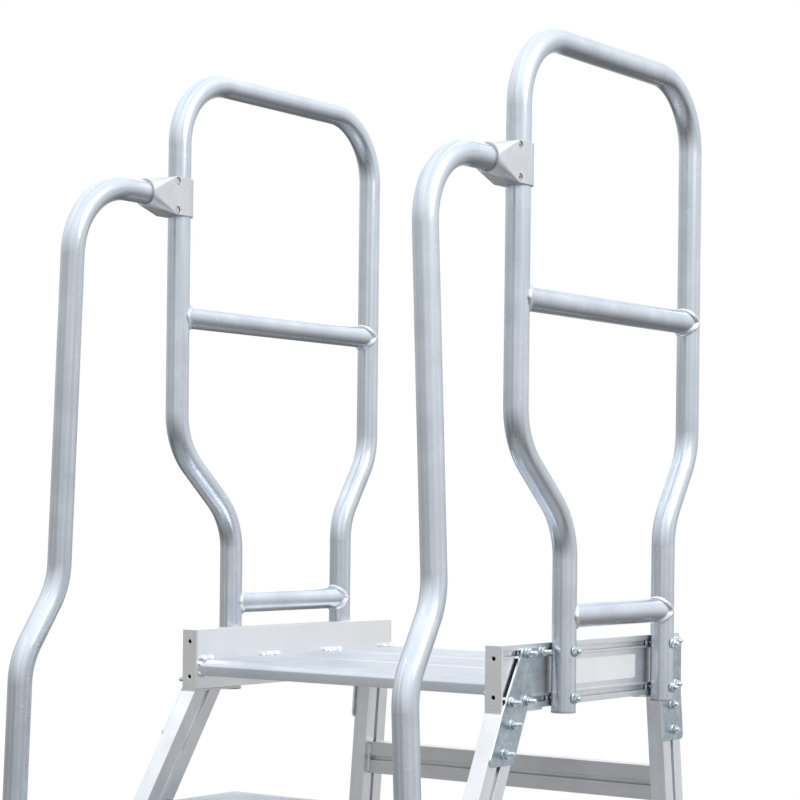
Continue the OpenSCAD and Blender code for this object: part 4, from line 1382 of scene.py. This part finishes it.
@dataclass
class Base(SubAssembly):
    """Crossbars with their caps, base rails and the welds of the base."""

    # How far the upright and the level seams stop short of their ends
    upright_short: float = 0.003
    short: float = 0.002

    def build(self) -> None:
        """Builds the base."""
        for end in ("front", "rear"):
            self.softened(f"crossbar_{end}", PROFILE, 0.0012, Run.ACROSS)
        for side in ("left", "right"):
            self.softened(f"base_rail_{side}", PROFILE, 0.0012, Run.LENGTHWISE)
        self.softened("crossbar_caps", GREY_PLASTIC, 0.0012)
        self.softened("castor_plates", CASTOR_STEEL)
        self.welds()

    def welds(self) -> None:
        """Builds the seams of the base rails and of the feet of stiles and legs."""
        shape, s, z, gap = Shape(), self.sizes, self.sizes.bar_top, self.short
        low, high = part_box("base_rail_right")
        for y, way in ((low.y, 1), (high.y, -1)):
            for x, out in ((low.x, -1), (high.x, 1)):
                shape.seam((x, y, s.bar_bottom + self.upright_short),
                           (x, y, z - self.upright_short), (out, way, 0))
            shape.seam((low.x + gap, y, z), (high.x - gap, y, z), (0, way, 1))
        for y, half in ((s.middle_y + s.stile_at(z), s.stile_half),
                        (s.middle_y + s.leg_y, s.leg_d / 2)):
            for x, out in ((s.inner_x(z), -1), (s.face_x(z), 1)):
                shape.seam((x, y - half + gap, z), (x, y + half - gap, z), (out, 0, 1))
            for way in (-1, 1):
                edge = y + way * half
                shape.seam((s.inner_x(z) + gap, edge, z), (s.face_x(z) - gap, edge, z),
                           (0, way, 1))
        self.add("base_welds", shape.outward(), WELD, slot=PROFILE.name)


@dataclass
class Castor(SubAssembly):
    """One castor: fork, wheel, tyre and brake pedal, on their three bodies."""

    name: str
    swivel: Vector
    hub: Vector
    pivot: Vector
    wheel_r: float = 0.0625
    tyre_w: float = 0.036
    tyre_t: float = 0.0125
    # Half the tyre's outline: millimetres below its top and in from its face
    tread: tuple[tuple[float, float], ...] = (
        (8.5, 0), (7.8, 0.5), (7, 0), (4.5, 0.4), (2.2, 1.8), (0.6, 4.6), (0.2, 7.5),
        (0.1, 9.8), (1.3, 10.2), (1.3, 11.4), (0, 11.8))
    rim_t: float = 0.006
    hub_r: float = 0.0163
    ribs: int = 10
    rib: tuple[float, float] = (0.0034, 0.012)
    rib_x: float = 0.0095
    seal_x: float = 0.0208
    # Outlines of the bearing's seal and of the race's lip: radius and height
    seal: tuple[tuple[float, float], ...] = (
        (0.0075, -0.001), (0.0075, 0.0004), (0.0095, 0.0007), (0.0115, 0.0004),
        (0.0115, -0.001), (0.0075, -0.001))
    lip: tuple[tuple[float, float], ...] = (
        (0.0275, -0.0052), (0.0275, -0.0006), (0.0302, 0.0), (0.0318, -0.0004),
        (0.0326, -0.0014), (0.0326, -0.0052), (0.0275, -0.0052))
    # The pedal's pad from the pivot, its fall and tilt, and the grips across it
    pad: tuple[float, float] = (0.030, 0.005)
    pad_fall: float = 7 / 36
    pad_tilt: float = -11.0
    grips: int = 5
    grip: tuple[float, float, float] = (0.040, 0.0022, 0.0022)
    first_grip: float = 0.006
    grip_pitch: float = 0.0058

    def build(self) -> None:
        """Builds the castor's pieces."""
        fork = f"castor_{self.name}"
        wheel, brake = fork + "_wheel", fork + "_brake"
        self.softened(f"fork_{self.name}", CASTOR_STEEL, 0.0008, body=fork)
        self.softened(f"wheel_{self.name}", WHEEL_PLASTIC, 0.0008, body=wheel)
        self.softened(f"brake_pedal_{self.name}", RED_PAINT, 0.0009, body=brake)
        tyre = f"tyre_{self.name}"
        self.add(f"wheel_ribs_{self.name}", self.wheel_ribs(), WHEEL_PLASTIC, body=wheel)
        self.add(tyre + "_rubber", self.tyre(), TYRE_RUBBER, (tyre,), body=wheel)
        self.add(f"pedal_ribs_{self.name}", self.pedal_ribs(), RED_PAINT, body=brake)
        self.add(f"race_lip_{self.name}", self.race_lip(), CASTOR_STEEL, body=fork)

    def wheel_ribs(self) -> Shape:
        """Makes the ribs between hub and rim, and the rings round the bearings.

        Returns:
            The shape.
        """
        shape, on_axis = Shape(), place(*self.hub)
        inner, outer = self.hub_r - 0.001, self.wheel_r - self.tyre_t - self.rim_t + 0.001
        wide, high = self.rib
        for i in range(self.ribs):
            arm = on_axis @ turn(360 * i / self.ribs, "X")
            for side in (-1, 1):
                at = arm @ place(side * self.rib_x, (inner + outer) / 2, 0)
                shape.block((wide, outer - inner, high), at @ turn(90 * side, "Y"), 0.8)
        shape.soften(0.0007)
        for side in (-1, 1):
            at = on_axis @ place(side * self.seal_x, 0, 0) @ turn(90 * side, "Y")
            shape.turned(self.seal, 40, at)
        return shape.outward()

    def tyre(self) -> Shape:
        """Makes the tyre: a crowned tread with two shallow grooves and a bead line.

        Returns:
            The shape.
        """
        inside, half = self.wheel_r - self.tyre_t + 0.0001, self.tyre_w / 2
        one_side = [(inside, half - 0.001), (inside + 0.0012, half)]
        one_side += [(self.wheel_r - down / 1000, half - inward / 1000)
                     for down, inward in self.tread]
        outline = one_side + [(a, -b) for a, b in reversed(one_side)] + one_side[:1]
        return Shape().turned(outline, 96, place(*self.hub) @ turn(90, "Y")).outward()

    def pedal_ribs(self) -> Shape:
        """Makes the grips on the pedal's pad.

        Returns:
            The shape.
        """
        shape, (y, z) = Shape(), self.pad
        for i in range(self.grips):
            along = self.first_grip + self.grip_pitch * i
            at = place(*self.pivot) @ place(0, y + along, z - self.pad_fall * along)
            shape.block(self.grip, at @ turn(self.pad_tilt, "X"), 0.85)
        return shape.soften(0.0004).outward()

    def race_lip(self) -> Shape:
        """Makes the lip of the ball race under the cup of the plate, and returns it."""
        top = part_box(f"fork_{self.name}")[1].z
        return Shape().turned(self.lip, 56, place(self.swivel.x, self.swivel.y, top)).outward()


@dataclass
class Studio:
    """A pale floor, a soft studio and the camera at the photograph's place."""

    floor_r: float = 3.6
    # The floor's tone as the ladder mirrors it and as it is seen, and where it fades
    floor_tones: tuple[float, float] = (0.36, 0.86)
    floor_fade: tuple[float, float] = (0.45, 0.98)
    # The side that the light comes from, how uneven it is, and its span from dark to bright
    sky: tuple[float, float, float] = (0.11, 0.02, 0.85)
    sky_patches: float = 0.14
    sky_span: tuple[float, float, float, float] = (-0.42, 0.58, 0.05, 1.4)
    mirrored_white: float = 0.12
    lamps_aim: tuple[float, float, float] = (0.0, 0.0, 1.4)
    eye: tuple[float, float, float] = (2.2461, -2.8902, 1.6978)
    yaw: float = 36.03
    pitch: float = 0.12
    roll: float = 0.65
    # Focal length, the horizon's height and the picture's side, in its own pixels
    focal: float = 2224.52
    horizon: float = 508.36
    side: float = 800.0
    sensor: float = 36.0

    def build(self) -> None:
        """Builds the camera, the floor, the world and the lamps."""
        self.camera()
        self.floor()
        self.world()
        self.lamp("key", (3.2, 0.2, 4.0), 1.8, 36.0, (1.0, 0.995, 0.985))
        self.lamp("back", (-2.4, 3.0, 3.4), 2.6, 10.0, (0.98, 0.99, 1.0))
        bpy.context.scene.view_settings.view_transform = "Standard"

    def camera(self) -> None:
        """Builds the camera."""
        yaw, pitch, roll = radians(self.yaw), radians(self.pitch), radians(self.roll)
        ahead = Vector((-sin(yaw) * cos(pitch), cos(yaw) * cos(pitch), sin(pitch)))
        right = Vector((cos(yaw), sin(yaw), 0))
        up = right.cross(ahead)
        level = Matrix((right * cos(roll) + up * sin(roll), up * cos(roll) - right * sin(roll),
                        -ahead)).transposed()
        data = bpy.data.cameras.new("camera")
        data.sensor_width = self.sensor
        data.lens = self.focal / self.side * self.sensor
        data.shift_y = (self.horizon - self.side / 2) / self.side
        data.clip_end = 60.0
        bpy.context.scene.camera = new_object("camera", data)
        bpy.context.scene.camera.matrix_world = place(*self.eye) @ level.to_4x4()

    def floor(self) -> None:
        """Builds the floor: a pale disc whose edge fades into the background."""
        shape = Shape()
        bmesh.ops.create_circle(shape.bm, cap_ends=True, radius=self.floor_r, segments=96)
        floor = new_object("floor", shape.mesh("floor"))
        made, tree, shader = new_material("pale_floor")
        mirrored, seen = ((tone,) * 3 for tone in self.floor_tones)
        tone = tree.blend(tree.add("LightPath").outputs["Is Camera Ray"], mirrored, seen)
        tree.feed(shader.inputs["Base Color"], tone)
        shader.inputs["Roughness"].default_value = 0.7
        shader.inputs["Specular IOR Level"].default_value = 0.2
        reach = tree.add("VectorMath", {0: tree.add("TexCoord").outputs["Object"]},
                         operation="LENGTH").outputs["Value"]
        near, far = (share * self.floor_r for share in self.floor_fade)
        tree.feed(shader.inputs["Alpha"], tree.span(reach, near, far, 1.0, 0.0))
        floor.data.materials.append(made)

    def world(self) -> None:
        """Builds the world: white where it is seen, and brighter from above and one side."""
        world = bpy.context.scene.world = bpy.data.worlds.new("studio")
        world.use_nodes = True
        tree = Tree(world.node_tree)
        background = world.node_tree.nodes["Background"]
        way = tree.add("TexCoord").outputs["Generated"]
        slope = tree.add("VectorMath", {0: way, 1: self.sky}, operation="DOT_PRODUCT")
        rooms = tree.span(tree.noise(tree.scaled(way, (2.6, 2.6, 0.8)), 1.0, 1.0), 0.3, 0.7,
                          -self.sky_patches, self.sky_patches)
        shade = tree.span(tree.math("ADD", slope.outputs["Value"], rooms), *self.sky_span)
        path = tree.add("LightPath").outputs
        bounced = tree.math("MAXIMUM", path["Is Glossy Ray"], path["Is Transmission Ray"])
        seen = tree.math("MAXIMUM", path["Is Camera Ray"],
                         tree.math("MULTIPLY", bounced, self.mirrored_white))
        light = tree.blend(shade, (1.0, 0.985, 0.965), (0.93, 0.965, 1.0))
        tree.feed(background.inputs["Color"], tree.blend(seen, light, (1.0, 1.0, 1.0)))
        unseen = tree.math("MULTIPLY", shade, tree.math("SUBTRACT", 1.0, seen))
        tree.feed(background.inputs["Strength"], tree.math("ADD", unseen, seen))

    def lamp(self, name: str, at: Sequence[float], size: float, power: float,
             colour: Colour) -> None:
        """Builds a square soft lamp.

        Args:
            name: the lamp's name.
            at: its place.
            size: its side.
            power: in watts.
            colour: its tint.
        """
        data = bpy.data.lights.new(name, "AREA")
        data.size, data.energy, data.color = size, power, colour
        way = Vector(self.lamps_aim) - Vector(at)
        facing = way.to_track_quat("-Z", "Y").to_matrix().to_4x4()
        new_object(name, data).matrix_world = place(*at) @ facing


def castor_places(joints: Sequence[dict]) -> dict[str, dict[str, Vector]]:
    """Finds where the castors are.

    Args:
        joints: the frame's joints.

    Returns:
        Each castor's swivel axis, hub and pedal pivot, as its joints place them.
    """
    found: dict[str, dict[str, Vector]] = {}
    for joint in joints:
        kind, _, name = joint["name"].partition("_")
        found.setdefault(name, {})[kind] = Vector(joint["pos_m"])
    return found


def main() -> None:
    """Builds the studio and every sub-assembly of the ladder, and reports each piece."""
    logging.basicConfig(level=logging.INFO, format="%(name)s: %(message)s")
    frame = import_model()
    shared = (Sizes(), frame["nodes"])
    Effects().build()
    Studio().build()
    castors = castor_places(frame["joints"])
    grab = GrabRails(*shared)
    swivels = [at["swivel"] for at in castors.values()]
    parts = [Platform(*shared), Flight(*shared), RearFrame(*shared), Gussets(*shared),
             Guards(*shared), grab, Fasteners(*shared, swivels, grab.bracket_down),
             Base(*shared), *(Castor(*shared, name, at["swivel"], at["roll"], at["brake"])
                              for name, at in castors.items())]
    for part in parts:
        log.info("building %s", type(part).__name__)
        part.build()


if __name__ == "__main__":
    main()
